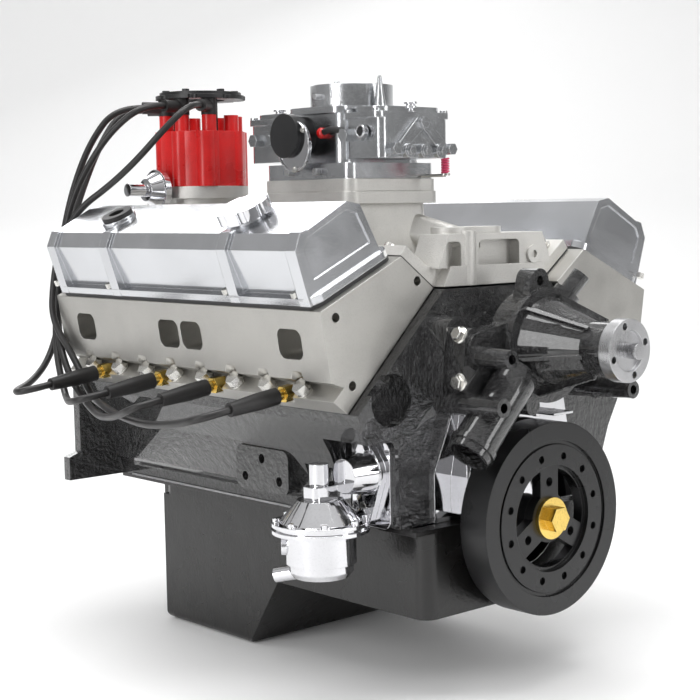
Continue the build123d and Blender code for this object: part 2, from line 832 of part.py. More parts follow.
# Distributor
dist_x = -36.0
dist_y = -46.0
cap_z = 355.0
cap_r = 60.0
dist_gear_r = 15.5
cam_gear_r = 20.0

with BuildPart() as distributor_housing:
    with BuildSketch(Plane.XY.offset(176)):
        with Locations((dist_x, dist_y)):
            Circle(18.8)
    extrude(amount=100)
    with BuildSketch(Plane.XY.offset(264)):
        with Locations((dist_x, dist_y)):
            Circle(22)
    extrude(amount=62)
    with BuildSketch(Plane.XY.offset(326)):
        with Locations((dist_x, dist_y)):
            Circle(46)
    extrude(amount=14)
    with BuildSketch(Plane.XY.offset(340)):
        with Locations((dist_x, dist_y)):
            Circle(cap_r - 3)
    extrude(amount=cap_z - 340)
    with BuildSketch(Plane.XY.offset(170)):
        with Locations((dist_x, dist_y)):
            Circle(6.5 + run_fit)
    extrude(amount=200, mode=Mode.SUBTRACT)
save(distributor_housing.part, "distributor_housing")

cap_height = 68.0
tower_pitch = 44.0
with BuildPart() as distributor_cap:
    # round body with flutes under the towers and two deep lobes for the hold-down screws
    with BuildSketch(Plane.XY.offset(cap_z)):
        with Locations((dist_x, dist_y)):
            Circle(cap_r - 5)
            with PolarLocations(tower_pitch + 2, 8, 22.5):
                Circle(12.5)
            with PolarLocations(cap_r - 9, 2, 60):
                Circle(12)
    extrude(amount=cap_height)
    with BuildSketch(Plane.XY.offset(cap_z + cap_height)):
        with Locations((dist_x, dist_y)):
            with PolarLocations(tower_pitch, 8, 22.5):
                Circle(9)
    extrude(amount=20)
    with BuildSketch(Plane.XY.offset(cap_z)):
        with Locations((dist_x, dist_y)):
            Circle(cap_r - 10)
    extrude(amount=40, mode=Mode.SUBTRACT)
save(distributor_cap.part, "distributor_cap")

retainer_z = cap_z + cap_height + 40
with BuildPart() as wire_retainer:
    with BuildSketch(Plane.XY.offset(retainer_z)):
        with Locations((dist_x, dist_y)):
            Circle(56)
            Circle(30, mode=Mode.SUBTRACT)
            with PolarLocations(57, 8, 0):
                Circle(6, mode=Mode.SUBTRACT)
    extrude(amount=5)
    with BuildSketch(Plane.XY.offset(retainer_z)):
        with Locations((dist_x, dist_y)):
            Circle(51)
            Circle(46, mode=Mode.SUBTRACT)
            Circle(34)
            Circle(30, mode=Mode.SUBTRACT)
    extrude(amount=9)
    # posts that clip it down on the cap, inside the ring of towers
    with BuildSketch(Plane.XY.offset(cap_z + cap_height + 0.2)):
        with Locations((dist_x, dist_y)):
            with PolarLocations(32, 3, 30):
                Circle(2.2)
    extrude(amount=42)
    with BuildSketch(Plane.XY.offset(retainer_z + 3)):
        with Locations((dist_x, dist_y)):
            with PolarLocations(43, 6, 30):
                RectangleRounded(9, 7, 2)
    extrude(amount=9)
save(wire_retainer.part, "wire_retainer")

with BuildPart() as vacuum_advance:
    with BuildSketch(Plane.YZ.offset(dist_x - cap_r - 4)):
        with Locations((dist_y, 351)):
            Circle(25)
    extrude(amount=-8)
    with BuildSketch(Plane.YZ.offset(dist_x - cap_r - 12)):
        with Locations((dist_y, 351)):
            Circle(22)
    extrude(amount=-14, taper=30)
    with BuildSketch(Plane.YZ.offset(dist_x - cap_r - 26)):
        with Locations((dist_y, 351)):
            Circle(8)
    extrude(amount=-26)
    with BuildSketch(Plane.YZ.offset(dist_x - cap_r + 3)):
        with Locations((dist_y, 347)):
            Rectangle(30, 12)
    extrude(amount=-7)
save(vacuum_advance.part, "vacuum_advance")

with BuildPart() as distributor_shaft:
    with BuildSketch(Plane.XY.offset(100)):
        with Locations((dist_x, dist_y)):
            Circle(6.5)
    extrude(amount=276)
    with BuildSketch(Plane.XY.offset(98)):
        with Locations((dist_x, dist_y)):
            Circle(dist_gear_r)
    extrude(amount=34)
    with BuildSketch(Plane.XY.offset(360)):
        with Locations((dist_x, dist_y)):
            SlotCenterPoint((0, 0), (18, 0), 34)
    extrude(amount=16)
save(distributor_shaft.part, "distributor_shaft")

# Crankshaft
counterweights = (0, 1, 3, 4, 6, 7)
counterweight_r = 79.0
web_start = 24.5
web_end = bore_spacing / 2 - main_web / 2 - 2
with BuildPart() as crankshaft:
    for y in main_ys:
        with BuildSketch(across(y + main_web / 2 + 2)):
            Circle(main_journal_r)
        extrude(amount=main_web + 4)
    for k, y in enumerate(pin_ys):
        angle = math.radians(pin_angles[k])
        px = throw * math.sin(angle)
        pz = throw * math.cos(angle)
        with BuildSketch(across(y + web_start)):
            with Locations((px, pz)):
                Circle(pin_journal_r)
        extrude(amount=2 * web_start)
        for end in (0, 1):
            start = y + web_end if end else y - web_start
            with BuildSketch(across(start)):
                with Locations((px, pz)):
                    Circle(32)
                Circle(38)
                make_hull()
            extrude(amount=web_end - web_start)
            if 2 * k + end in counterweights:
                with BuildSketch(across(start)):
                    Circle(counterweight_r)
                    with Locations((px / throw * 92, pz / throw * 92)):
                        Rectangle(200, 200, rotation=-pin_angles[k], mode=Mode.SUBTRACT)
                extrude(amount=web_end - web_start)
    with BuildSketch(across(0)):
        Circle(53)
        with PolarLocations(45.45, 6, 30):
            Circle(5.6, mode=Mode.SUBTRACT)
    extrude(amount=12)
    with BuildSketch(across(-12)):
        Circle(38)
    extrude(amount=-main_ys[-1] - main_web / 2 - 12)
    with BuildSketch(across(main_ys[0] - main_web / 2)):
        Circle(15.8)
    extrude(amount=main_ys[0] - main_web / 2 + 599)
    with BuildSketch(across(0.5)):
        Circle(13.9)
    extrude(amount=24, mode=Mode.SUBTRACT)
save(crankshaft.part, "crankshaft")

# Timing set: a chain of 3/8 inch pitch on 18 and 36 teeth
chain_pitch = 9.525
crank_teeth = 18
cam_teeth = 36
roller_r = 2.9
sprocket_width = 8.0
chain_y = front_y - 16.0
crank_pitch_r = chain_pitch / (2 * math.sin(math.pi / crank_teeth))
cam_pitch_r = chain_pitch / (2 * math.sin(math.pi / cam_teeth))


def sprocket_sketch(teeth, pitch_r, centre_z, turn):
    with Locations((0, centre_z)):
        Circle(pitch_r + 1.6)
        with PolarLocations(pitch_r, teeth, turn):
            Circle(roller_r + 0.6, mode=Mode.SUBTRACT)


with BuildPart() as crank_sprocket:
    with BuildSketch(across(chain_y + sprocket_width / 2)):
        sprocket_sketch(crank_teeth, crank_pitch_r, 0, 0)
    extrude(amount=sprocket_width)
    with BuildSketch(across(front_y - 2)):
        Circle(22)
    extrude(amount=10)
    with BuildSketch(across(front_y)):
        Circle(15.8)
    extrude(amount=60, mode=Mode.SUBTRACT)
save(crank_sprocket.part, "crank_sprocket")

with BuildPart() as cam_sprocket:
    with BuildSketch(across(chain_y + sprocket_width / 2)):
        sprocket_sketch(cam_teeth, cam_pitch_r, cam_height, 0)
        with Locations((0, cam_height)):
            with PolarLocations(34, 6):
                Circle(9, mode=Mode.SUBTRACT)
    extrude(amount=sprocket_width)
    with BuildSketch(across(chain_y - sprocket_width / 2)):
        with Locations((0, cam_height)):
            with PolarLocations(12, 3):
                RegularPolygon(4.5, 6)
    extrude(amount=4)
save(cam_sprocket.part, "cam_sprocket")


def chain_loop(grow):
    """The chain's outline round both sprockets, grown from the pitch line."""
    Circle(crank_pitch_r + grow)
    with Locations((0, cam_height)):
        Circle(cam_pitch_r + grow)
    make_hull()


def chain_rollers():
    """Places of the chain's rollers: in the sprockets' gaps and evenly along both straight runs."""
    drop = math.asin((cam_pitch_r - crank_pitch_r) / cam_height)
    rollers = []
    ends = {}
    for name, teeth, radius, centre in (("crank", crank_teeth, crank_pitch_r, 0),
                                        ("cam", cam_teeth, cam_pitch_r, cam_height)):
        for k in range(teeth):
            angle = 2 * math.pi * k / teeth
            below = math.sin(angle) < -math.sin(drop) + 0.001
            if below == (name == "crank"):
                spot = (radius * math.cos(angle), centre + radius * math.sin(angle))
                rollers.append(spot)
                key = (name, spot[0] > 0)
                if key not in ends or (spot[1] > ends[key][1]) == below:
                    ends[key] = spot
    for right in (True, False):
        low, high = ends[("crank", right)], ends[("cam", right)]
        count = round(math.dist(low, high) / chain_pitch)
        for k in range(1, count):
            rollers.append((low[0] + (high[0] - low[0]) * k / count, low[1] + (high[1] - low[1]) * k / count))
    return rollers


with BuildPart() as timing_chain:
    for y in (chain_y + sprocket_width / 2 + 2.4, chain_y - sprocket_width / 2 - 0.6):
        with BuildSketch(across(y)):
            chain_loop(3.6)
            with BuildSketch(mode=Mode.SUBTRACT):
                chain_loop(-3.6)
        extrude(amount=1.8)
    with BuildSketch(across(chain_y + sprocket_width / 2 + 2.4)):
        with Locations(*chain_rollers()):
            Circle(roller_r)
    extrude(amount=sprocket_width + 4.8)
save(timing_chain.part, "timing_chain")

# Camshaft with its lobes and the gear of the distributor
lobe_width = 12.0
base_r = 15.0
lift = 6.5
firing_turns = [0, 45, 90, 135, 180, 225, 270, 315]
with BuildPart() as camshaft:
    with BuildSketch(across(bell_y - 10)):
        with Locations((0, cam_height)):
            Circle(13)
    extrude(amount=bell_y - 10 - (chain_y + sprocket_width / 2))
    for y in (*main_ys[:-1], bell_y - 14):
        with BuildSketch(across(y + 8)):
            with Locations((0, cam_height)):
                Circle(cam_journal_r)
        extrude(amount=16)
    for side in sides:
        for n, along in enumerate(sorted(exhaust_along + intake_along)):
            turn = math.radians(firing_turns[n] + (60 if side > 0 else 0))
            with BuildSketch(across(centre_y(side) + along + lobe_width / 2)):
                with Locations((0, cam_height)):
                    Circle(base_r)
                    with Locations((12 * math.sin(turn), 12 * math.cos(turn))):
                        Circle(base_r + lift - 12)
                make_hull()
            extrude(amount=lobe_width)
    with BuildSketch(across(dist_y + 8)):
        with Locations((0, cam_height)):
            Circle(cam_gear_r)
    extrude(amount=16)
save(camshaft.part, "camshaft")

# Damper: hub, ring and bolt
window_r = 52.0
with BuildPart() as damper_hub:
    with BuildSketch(across(front_y - 34)):
        Circle(21)
        Circle(15.8, mode=Mode.SUBTRACT)
    extrude(amount=30)
    with BuildSketch(across(damper_front_y + 18)):
        Circle(78)
        Circle(window_r, mode=Mode.SUBTRACT)
        with PolarLocations(window_r - 14, 3, 90):
            RectangleRounded(36, 27, 3)
        Circle(26)
        Circle(15.8, mode=Mode.SUBTRACT)
        with PolarLocations(38, 3, 90):
            Circle(4.8, mode=Mode.SUBTRACT)
    extrude(amount=12)
    with BuildSketch(across(damper_front_y + 6)):
        Circle(78)
        Circle(56, mode=Mode.SUBTRACT)
        with PolarLocations(66, 12, 15):
            Circle(4, mode=Mode.SUBTRACT)
    extrude(amount=5)
save(damper_hub.part, "damper_hub")

with BuildPart() as damper_ring:
    with BuildSketch(across(damper_front_y + damper_width)):
        Circle(damper_r)
        Circle(78, mode=Mode.SUBTRACT)
    extrude(amount=damper_width)
    with BuildSketch(across(damper_front_y)):
        Circle(82)
        Circle(78, mode=Mode.SUBTRACT)
    extrude(amount=-3, mode=Mode.SUBTRACT)
save(damper_ring.part, "damper_ring")

with BuildPart() as damper_bolt:
    with BuildSketch(across(damper_front_y + 6)):
        Circle(22)
    extrude(amount=5)
    with BuildSketch(across(damper_front_y + 1)):
        RegularPolygon(12, 6, major_radius=False)
    extrude(amount=11)
    with BuildSketch(across(-599)):
        Circle(10)
    extrude(amount=damper_front_y * -1 - 599 - 6)
save(damper_bolt.part, "damper_bolt")

# Pistons, pins and rods at the places that the crank's rest position gives them
piston_r = bore / 2 - skirt_fit
pin_r = 11.8
compression = 39.6
skirt = 24.0


def pin_height(side, angle_deg):
    turn = math.radians(angle_deg - side * bank_angle)
    return throw * math.cos(turn) + math.sqrt(rod_length ** 2 - (throw * math.sin(turn)) ** 2)


cylinders = [(side, centre_y(side) + bores_along[k], pin_angles[k]) for side in sides for k in range(4)]

with BuildPart() as pistons:
    for side, y, angle in cylinders:
        h = pin_height(side, angle)
        with BuildSketch(bank_plane(side, y, h - skirt)):
            Circle(piston_r)
        extrude(amount=skirt + compression)
        with BuildSketch(bank_plane(side, y, h - skirt)):
            Rectangle(26, 84)
        extrude(amount=skirt + compression - 9, mode=Mode.SUBTRACT)
        with BuildSketch(bank_plane(side, y, h - skirt)):
            with Locations((52, 0), (-52, 0)):
                Rectangle(34, 120)
        extrude(amount=skirt + 14, mode=Mode.SUBTRACT)
        with BuildSketch(Plane(origin=bank_point(side, y - 40, h), x_dir=(1, 0, 0), z_dir=(0, 1, 0))):
            Circle(pin_r)
        extrude(amount=80, mode=Mode.SUBTRACT)
save(pistons.part, "pistons")

with BuildPart() as piston_pins:
    for side, y, angle in cylinders:
        h = pin_height(side, angle)
        with BuildSketch(Plane(origin=bank_point(side, y - 34, h), x_dir=(1, 0, 0), z_dir=(0, 1, 0))):
            Circle(pin_r)
            Circle(7, mode=Mode.SUBTRACT)
        extrude(amount=68)
save(piston_pins.part, "piston_pins")

rod_width = 21.6
with BuildPart() as connecting_rods:
    for side, y, angle in cylinders:
        top = bank_point(side, y, pin_height(side, angle))
        turn = math.radians(angle)
        low = Vector(throw * math.sin(turn), y, throw * math.cos(turn))
        with BuildSketch(across(y + rod_width / 2)):
            with Locations((top.X, top.Z)):
                Circle(16)
            with Locations((low.X, low.Z)):
                Circle(34)
        extrude(amount=rod_width)
        with BuildSketch(across(y + 8)):
            with BuildLine():
                way = (low - top).normalized()
                square = Vector(way.Z, 0, -way.X)
                a, b = top + square * 10, top - square * 10
                c, d = low - square * 19, low + square * 19
                Polyline((a.X, a.Z), (b.X, b.Z), (c.X, c.Z), (d.X, d.Z), close=True)
            make_face()
        extrude(amount=16)
        with BuildSketch(across(y + 20)):
            with Locations((top.X, top.Z)):
                Circle(pin_r)
            with Locations((low.X, low.Z)):
                Circle(pin_journal_r + run_fit)
        extrude(amount=40, mode=Mode.SUBTRACT)
save(connecting_rods.part, "connecting_rods")

# Lifters, pushrods, rockers, valves and springs
valve_places = [(side, centre_y(side) + a, r) for side in sides
                for group, r in ((exhaust_along, exhaust_valve_r), (intake_along, intake_valve_r)) for a in group]

with BuildPart() as lifters:
    for side, y, valve_r in valve_places:
        with BuildSketch(bank_plane(side, y, lifter_foot, lifter_out)):
            Circle(lifter_r)
        extrude(amount=lifter_length)
        with BuildSketch(bank_plane(side, y, lifter_foot + lifter_length, lifter_out)):
            Circle(6)
        extrude(amount=-5, mode=Mode.SUBTRACT)
save(lifters.part, "lifters")

with BuildPart() as pushrods:
    for side, y, valve_r in valve_places:
        low, high = pushrod_ends(side, y)
        with BuildSketch(Plane(origin=low, z_dir=high - low)):
            Circle(pushrod_r)
        extrude(amount=(high - low).length)
save(pushrods.part, "pushrods")

with BuildPart() as rocker_arms:
    for side, y, valve_r in valve_places:
        with BuildSketch(across(y + 8)):
            with BuildLine():
                shape = [(-6, 0.2), (8, 0.2), (rocker_reach, 4), (rocker_reach + rocker_back - 8, 0.2),
                         (rocker_reach + rocker_back + 7, 0.2), (rocker_reach + rocker_back + 7, 6),
                         (rocker_reach + 10, 13), (rocker_reach - 10, 13), (-6, 7)]
                corners = [rail_point(side, 0, stem_in + a, tip_h + b) for a, b in shape]
                Polyline(*[(p.X, p.Z) for p in corners], close=True)
            make_face()
        extrude(amount=16)
        with BuildSketch(rail_plane(side, y, stem_in + rocker_reach, tip_h - 4)):
            Circle(5)
        extrude(amount=30, mode=Mode.SUBTRACT)
save(rocker_arms.part, "rocker_arms")

with BuildPart() as valves:
    for side, y, valve_r in valve_places:
        with BuildSketch(rail_plane(side, y, stem_in, seat_h - 4)):
            Circle(valve_r)
        extrude(amount=4)
        with BuildSketch(rail_plane(side, y, stem_in, seat_h)):
            Circle(stem_r)
        extrude(amount=valve_length)
save(valves.part, "valves")

with BuildPart() as valve_springs:
    for side, y, valve_r in valve_places:
        with BuildSketch(rail_plane(side, y, stem_in, spring_seat)):
            Circle(spring_r)
            Circle(spring_r - 4, mode=Mode.SUBTRACT)
        extrude(amount=tip_h - 6 - spring_seat)
        with BuildSketch(rail_plane(side, y, stem_in, tip_h - 8)):
            Circle(spring_r - 2)
            Circle(stem_r, mode=Mode.SUBTRACT)
        extrude(amount=4)
save(valve_springs.part, "valve_springs")

# Timing cover and tab
cover_depth = 31.0
with BuildPart() as timing_cover:
    with BuildSketch(across(front_y)):
        with Locations((0, 26)):
            Rectangle(208, 52)
        with Locations((0, cam_height)):
            Circle(68)
        make_hull()
        Circle(59)
    extrude(amount=4)
    with BuildSketch(across(front_y)):
        with Locations((0, 28)):
            Rectangle(160, 40)
        with Locations((0, cam_height)):
            Circle(65)
        make_hull()
        Circle(57)
    extrude(amount=cover_depth)
    with BuildSketch(across(front_y)):
        Circle(54)
        with Locations((0, cam_height)):
            Circle(62)
        make_hull()
    extrude(amount=cover_depth - 3, mode=Mode.SUBTRACT)
    with BuildSketch(across(front_y - cover_depth + 4)):
        Circle(36)
    extrude(amount=7)
    with BuildSketch(across(front_y)):
        Circle(21.3)
    extrude(amount=60, mode=Mode.SUBTRACT)
save(timing_cover.part, "timing_cover")

with BuildPart() as timing_tab:
    with BuildSketch(Plane.XY.offset(damper_r + 3)):
        with Locations((34, front_y - cover_depth - 14)):
            Rectangle(30, 28)
    extrude(amount=2.5)
    with BuildSketch(across(front_y - cover_depth)):
        with Locations((34, damper_r + 10)):
            Rectangle(30, 20)
    extrude(amount=2.5)
save(timing_tab.part, "timing_tab")

# Water pump
pump_body_y = front_y - 36.0
pump_shaft_r = 8.0
snout_y = pump_body_y - 34.0
snout_length = 64.0
snout_r = 28.0
volute_r = 56.0
with BuildPart() as water_pump_housing:
    with BuildSketch(across(pump_body_y)):
        with Locations((0, pump_height)):
            Circle(volute_r)
    extrude(amount=34)
    with BuildSketch(across(snout_y + 5)):
        with Locations((0, pump_height)):
            Circle(volute_r + 4)
    extrude(amount=6)
    with BuildSketch(across(snout_y)):
        with Locations((0, pump_height)):
            Circle(volute_r - 6)
    extrude(amount=snout_length, taper=math.degrees(math.atan2(volute_r - 6 - snout_r, snout_length)))
    with BuildSketch(across(snout_y - snout_length)):
        with Locations((0, pump_height)):
            Circle(snout_r)
    extrude(amount=pump_face_y * -1 - 16 + snout_y - snout_length)
    # ribs along the snout
    for k in range(6):
        turn = math.radians(60 * k + 12)
        way = (math.cos(turn), 0, math.sin(turn))
        with BuildSketch(Plane(origin=(0, snout_y, pump_height), x_dir=way,
                               z_dir=(math.sin(turn), 0, -math.cos(turn)))):
            with BuildLine():
                Polyline((20, 0), (volute_r - 1, 0), (snout_r + 3, snout_length + 6), (20, snout_length + 6),
                         close=True)
            make_face()
        extrude(amount=1.8, both=True)
    for side in sides:
        # pad on the block with its two ends
        with BuildSketch(across(front_y)):
            with Locations((side * 92, 196)):
                Circle(19)
            with Locations((side * 97, 146)):
                Circle(19)
            make_hull()
        extrude(amount=30)
        with BuildSketch(across(front_y - 28)):
            with Locations((side * 90, 190)):
                Circle(15)
            with Locations((side * 94, 150)):
                Circle(15)
            make_hull()
        extrude(amount=24)
        # arm from the pad to the volute
        with BuildSketch(across(pump_body_y)):
            with Locations((side * 92, 188)):
                Circle(11)
            with Locations((side * 24, pump_height)):
                Circle(30)
            make_hull()
        extrude(amount=22)
        with BuildSketch(across(pump_body_y)):
            with Locations((side * 94, 152)):
                Circle(12)
            with Locations((side * 18, 160)):
                Circle(28)
            make_hull()
        extrude(amount=15)
        # tubes of the long bracket bolts
        with BuildSketch(across(front_y - 12)):
            with Locations((side * 88, 175), (side * 100, 128)):
                Circle(13)
        extrude(amount=88, taper=2.2)
        with BuildSketch(across(front_y - 101)):
            with Locations((side * 88, 175), (side * 100, 128)):
                Circle(5)
        extrude(amount=-32, mode=Mode.SUBTRACT)
    # upper ear with its hole, and hose nipple
    with BuildSketch(across(pump_body_y - 8)):
        with Locations((-9, 248)):
            Circle(13)
        with Locations((-9, 222)):
            Circle(20)
        make_hull()
        with Locations((-9, 248)):
            Circle(5, mode=Mode.SUBTRACT)
    extrude(amount=22)
    with BuildSketch(Plane(origin=(26, pump_body_y - 16, 214), z_dir=(0.45, -0.25, 0.62))):
        Circle(15)
    extrude(amount=26)
    with BuildSketch(Plane(origin=(26, pump_body_y - 16, 214), z_dir=(0.45, -0.25, 0.62))):
        Circle(10)
    extrude(amount=50)
    # lower hose neck on the right side with the bead at its mouth
    neck = Plane(origin=(-40, pump_body_y - 28, 156), z_dir=(-0.7, 0, -0.72))
    with BuildSketch(neck):
        Circle(23)
    extrude(amount=108)
    with BuildSketch(neck.offset(94)):
        Circle(25)
    extrude(amount=6)
    with BuildSketch(neck.offset(60)):
        Circle(19)
    extrude(amount=60, mode=Mode.SUBTRACT)
    # small boss under the volute
    with BuildSketch(across(snout_y + 12)):
        with Locations((-34, 122)):
            Circle(10)
    extrude(amount=20)
    # cavity of the impeller and bore of the shaft
    with BuildSketch(across(pump_body_y)):
        with Locations((0, pump_height)):
            Circle(44)
    extrude(amount=26, mode=Mode.SUBTRACT)
    with BuildSketch(across(pump_body_y)):
        with Locations((0, pump_height)):
            Circle(pump_shaft_r + run_fit)
    extrude(amount=200, mode=Mode.SUBTRACT)
save(water_pump_housing.part, "water_pump_housing")

with BuildPart() as water_pump_hub:
    with BuildSketch(across(pump_face_y + 14)):
        with Locations((0, pump_height)):
            Circle(pump_hub_r)
            with PolarLocations(25.4, 4, 17):
                Circle(3.6, mode=Mode.SUBTRACT)
    extrude(amount=14)
    with BuildSketch(across(pump_face_y)):
        with Locations((0, pump_height)):
            Circle(pump_hub_r - 11)
    extrude(amount=-4, mode=Mode.SUBTRACT)
    with BuildSketch(across(pump_body_y - 4)):
        with Locations((0, pump_height)):
            Circle(pump_shaft_r)
    extrude(amount=-(pump_face_y - 12) + pump_body_y - 4)
    with BuildSketch(across(pump_body_y - 4)):
        with Locations((0, pump_height)):
            Circle(14)
            for k in range(6):
                with Locations(Rot(0, 0, 60 * k) * Pos(26, 0, 0)):
                    Rectangle(30, 5)
    extrude(amount=18)
save(water_pump_hub.part, "water_pump_hub")

# Oil pan
pan_front = front_y - 22.0
pan_rear = bell_y - 4.0
pan_half = 135.0
sump_rear = -85.0
sump_front = -254.0
rear_half = 86.0
with BuildPart() as oil_pan:
    pan_mid = (pan_rear + pan_front) / 2
    sump_mid = (sump_rear + sump_front) / 2
    with BuildSketch(Plane.XY):
        with Locations((0, pan_mid)):
            Rectangle(2 * rail_half, pan_rear - pan_front)
    extrude(amount=-5)
    with BuildSketch(Plane.XY):
        with Locations((0, (sump_rear + pan_front) / 2)):
            RectangleRounded(2 * pan_half, sump_rear - pan_front, 16)
    extrude(amount=-pan_depth)
    with BuildSketch(Plane.XY):
        with Locations((0, pan_mid + 20)):
            Rectangle(2 * rear_half, pan_rear - pan_front - 40)
    extrude(amount=-pan_depth)
    # the sump with its sloping front
    with BuildSketch(Plane.YZ.offset(-pan_half)):
        with BuildLine():
            Polyline((sump_rear, -20), (sump_rear, -sump_depth), (sump_front, -sump_depth),
                     (sump_front - 62, -pan_depth + 10), (sump_front - 62, -20), close=True)
        make_face()
    extrude(amount=2 * pan_half)
    fillet(oil_pan.edges().filter_by_position(Axis.Z, -sump_depth - 1, -sump_depth + 1), 9)
    # hollow of the shallow part, the rear end and the sump
    with BuildSketch(Plane.XY):
        with Locations((0, pan_mid + 6)):
            Rectangle(2 * rear_half - 2 * sheet, pan_rear - pan_front - 2 * sheet - 30)
        with Locations((0, (sump_rear + pan_front) / 2)):
            Rectangle(2 * pan_half - 2 * sheet, sump_rear - pan_front - 2 * sheet - 30)
    extrude(amount=-pan_depth + sheet, mode=Mode.SUBTRACT)
    with BuildSketch(Plane.XY):
        with Locations((0, sump_mid)):
            Rectangle(2 * pan_half - 2 * sheet - 14, sump_rear - sump_front - 2 * sheet - 4)
    extrude(amount=-sump_depth + sheet, mode=Mode.SUBTRACT)
    with BuildSketch(across(pan_rear + 1)):
        Circle(57.2)
    extrude(amount=60, mode=Mode.SUBTRACT)
    with BuildSketch(across(pan_front - 1)):
        Circle(59.2)
    extrude(amount=-40, mode=Mode.SUBTRACT)
save(oil_pan.part, "oil_pan")

# Oil pump under the rear bearing cap, with its pickup
with BuildPart() as oil_pump:
    with BuildSketch(Plane.XY.offset(-57)):
        with Locations((0, main_ys[-1])):
            RectangleRounded(30, 22, 6)
    extrude(amount=-33)
    with BuildSketch(Plane.XY.offset(-counterweight_r - 1.5)):
        with Locations((0, main_ys[-1] - 28)):
            Rectangle(26, 56)
    extrude(amount=-9.5)
    with BuildSketch(Plane.XY.offset(-82)):
        with Locations((0, main_ys[-1] - 66)):
            RectangleRounded(60, 58, 12)
    extrude(amount=-36)
    with BuildSketch(across(main_ys[-1] - 90)):
        with Locations((0, -108)):
            Circle(8)
    extrude(amount=22)
    with BuildSketch(Plane.XY.offset(-102)):
        with Locations((0, main_ys[-1] - 110)):
            Circle(9)
    extrude(amount=-54)
    with BuildSketch(Plane.XY.offset(-152)):
        with Locations((0, main_ys[-1] - 110)):
            Circle(36)
    extrude(amount=-12)
save(oil_pump.part, "oil_pump")

# Fuel pump on its plate
plate_x = -150.0
fuel_x = -206.0
fuel_y = front_y + 57.0
fuel_rim_z = 4.0
fuel_rim_r = 50.0
with BuildPart() as fuel_pump_plate:
    with BuildSketch(Plane.YZ.offset(plate_x)):
        with Locations((front_y + 38, 44)):
            RectangleRounded(58, 90, 10)
    extrude(amount=-4)
save(fuel_pump_plate.part, "fuel_pump_plate")

with BuildPart() as fuel_pump:
    with BuildSketch(Plane.YZ.offset(plate_x - 4)):
        with Locations((front_y + 38, 56)):
            Circle(24)
        with Locations((front_y + 38, 82), (front_y + 38, 12)):
            Circle(8)
        make_hull()
    extrude(amount=-7)
    with BuildSketch(Plane.YZ.offset(plate_x - 11)):
        with Locations((front_y + 38, 56)):
            Circle(22)
    extrude(amount=-30, taper=8)
    with BuildSketch(Plane.YZ.offset(plate_x - 11)):
        with Locations((front_y + 38, 80), (front_y + 38, 14)):
            RegularPolygon(7, 6)
    extrude(amount=-7)
    # the post with its collar beside the arm's housing
    with BuildSketch(Plane.XY.offset(fuel_rim_z + 18)):
        with Locations((fuel_x + 4, fuel_y + 6)):
            Circle(10)
    extrude(amount=46)
    with BuildSketch(Plane.XY.offset(fuel_rim_z + 26)):
        with Locations((fuel_x + 12, fuel_y + 2)):
            RectangleRounded(52, 22, 6)
    extrude(amount=16)
    # double rim, cone and the rim's screws
    with BuildSketch(Plane.XY.offset(fuel_rim_z - 4)):
        with Locations((fuel_x, fuel_y)):
            Circle(fuel_rim_r)
    extrude(amount=11)
    with BuildSketch(Plane.XY.offset(fuel_rim_z)):
        with Locations((fuel_x, fuel_y)):
            Circle(fuel_rim_r + 2)
            Circle(fuel_rim_r - 3, mode=Mode.SUBTRACT)
    extrude(amount=3, mode=Mode.SUBTRACT)
    with BuildSketch(Plane.XY.offset(fuel_rim_z + 7)):
        with Locations((fuel_x, fuel_y)):
            Circle(fuel_rim_r - 8)
    extrude(amount=22, taper=40)
    with BuildSketch(Plane.XY.offset(fuel_rim_z + 6)):
        with Locations((fuel_x, fuel_y)):
            with PolarLocations(fuel_rim_r - 5, 8, 10):
                Circle(3.6)
    extrude(amount=5)
    # bowl with its ports
    with BuildSketch(Plane.XY.offset(fuel_rim_z - 36)):
        with Locations((fuel_x, fuel_y)):
            Circle(36)
    extrude(amount=34)
    with BuildSketch(Plane.XY.offset(fuel_rim_z - 44)):
        with Locations((fuel_x, fuel_y)):
            Circle(33)
    extrude(amount=10)
    with BuildSketch(Plane.XY.offset(fuel_rim_z - 44)):
        with Locations((fuel_x, fuel_y)):
            Circle(33)
    extrude(amount=-6, taper=35)
    with BuildSketch(Plane(origin=(fuel_x, fuel_y, fuel_rim_z - 18), z_dir=(-0.75, 0.66, 0))):
        Circle(10)
        Circle(5.5, mode=Mode.SUBTRACT)
    extrude(amount=40)
    with BuildSketch(Plane(origin=(fuel_x, fuel_y, fuel_rim_z - 42), z_dir=(-0.45, 0.86, -0.2))):
        Circle(8)
    extrude(amount=52)
save(fuel_pump.part, "fuel_pump")

# Spark plugs, and boots on the right bank's plugs
with BuildPart() as spark_plugs:
    for side in sides:
        for along in plug_along:
            with BuildSketch(plug_plane(side, along, -18)):
                Circle(6.9)
            extrude(amount=18)
            with BuildSketch(plug_plane(side, along)):
                RegularPolygon(8, 6, major_radius=False)
            extrude(amount=12)
            with BuildSketch(plug_plane(side, along, 12)):
                Circle(5.5)
            extrude(amount=24)
save(spark_plugs.part, "spark_plugs")

boot_end = 79.0
boot_reach = 30.0
towers = ((112.5, 140), (157.5, 160), (202.5, 190), (247.5, 215))


def tower_point(angle):
    """The top of one tower of the cap."""
    turn = math.radians(angle)
    return Vector(dist_x + tower_pitch * math.cos(turn), dist_y + tower_pitch * math.sin(turn),
                  cap_z + cap_height + 20)


def tower_way(way):
    return Vector(math.cos(math.radians(way)), math.sin(math.radians(way)), 0)


def tower_end(angle, way, beyond=0.0):
    p = tower_point(angle) + Vector(0, 0, 10) + tower_way(way) * (boot_reach + beyond)
    return (p.X, p.Y, p.Z)


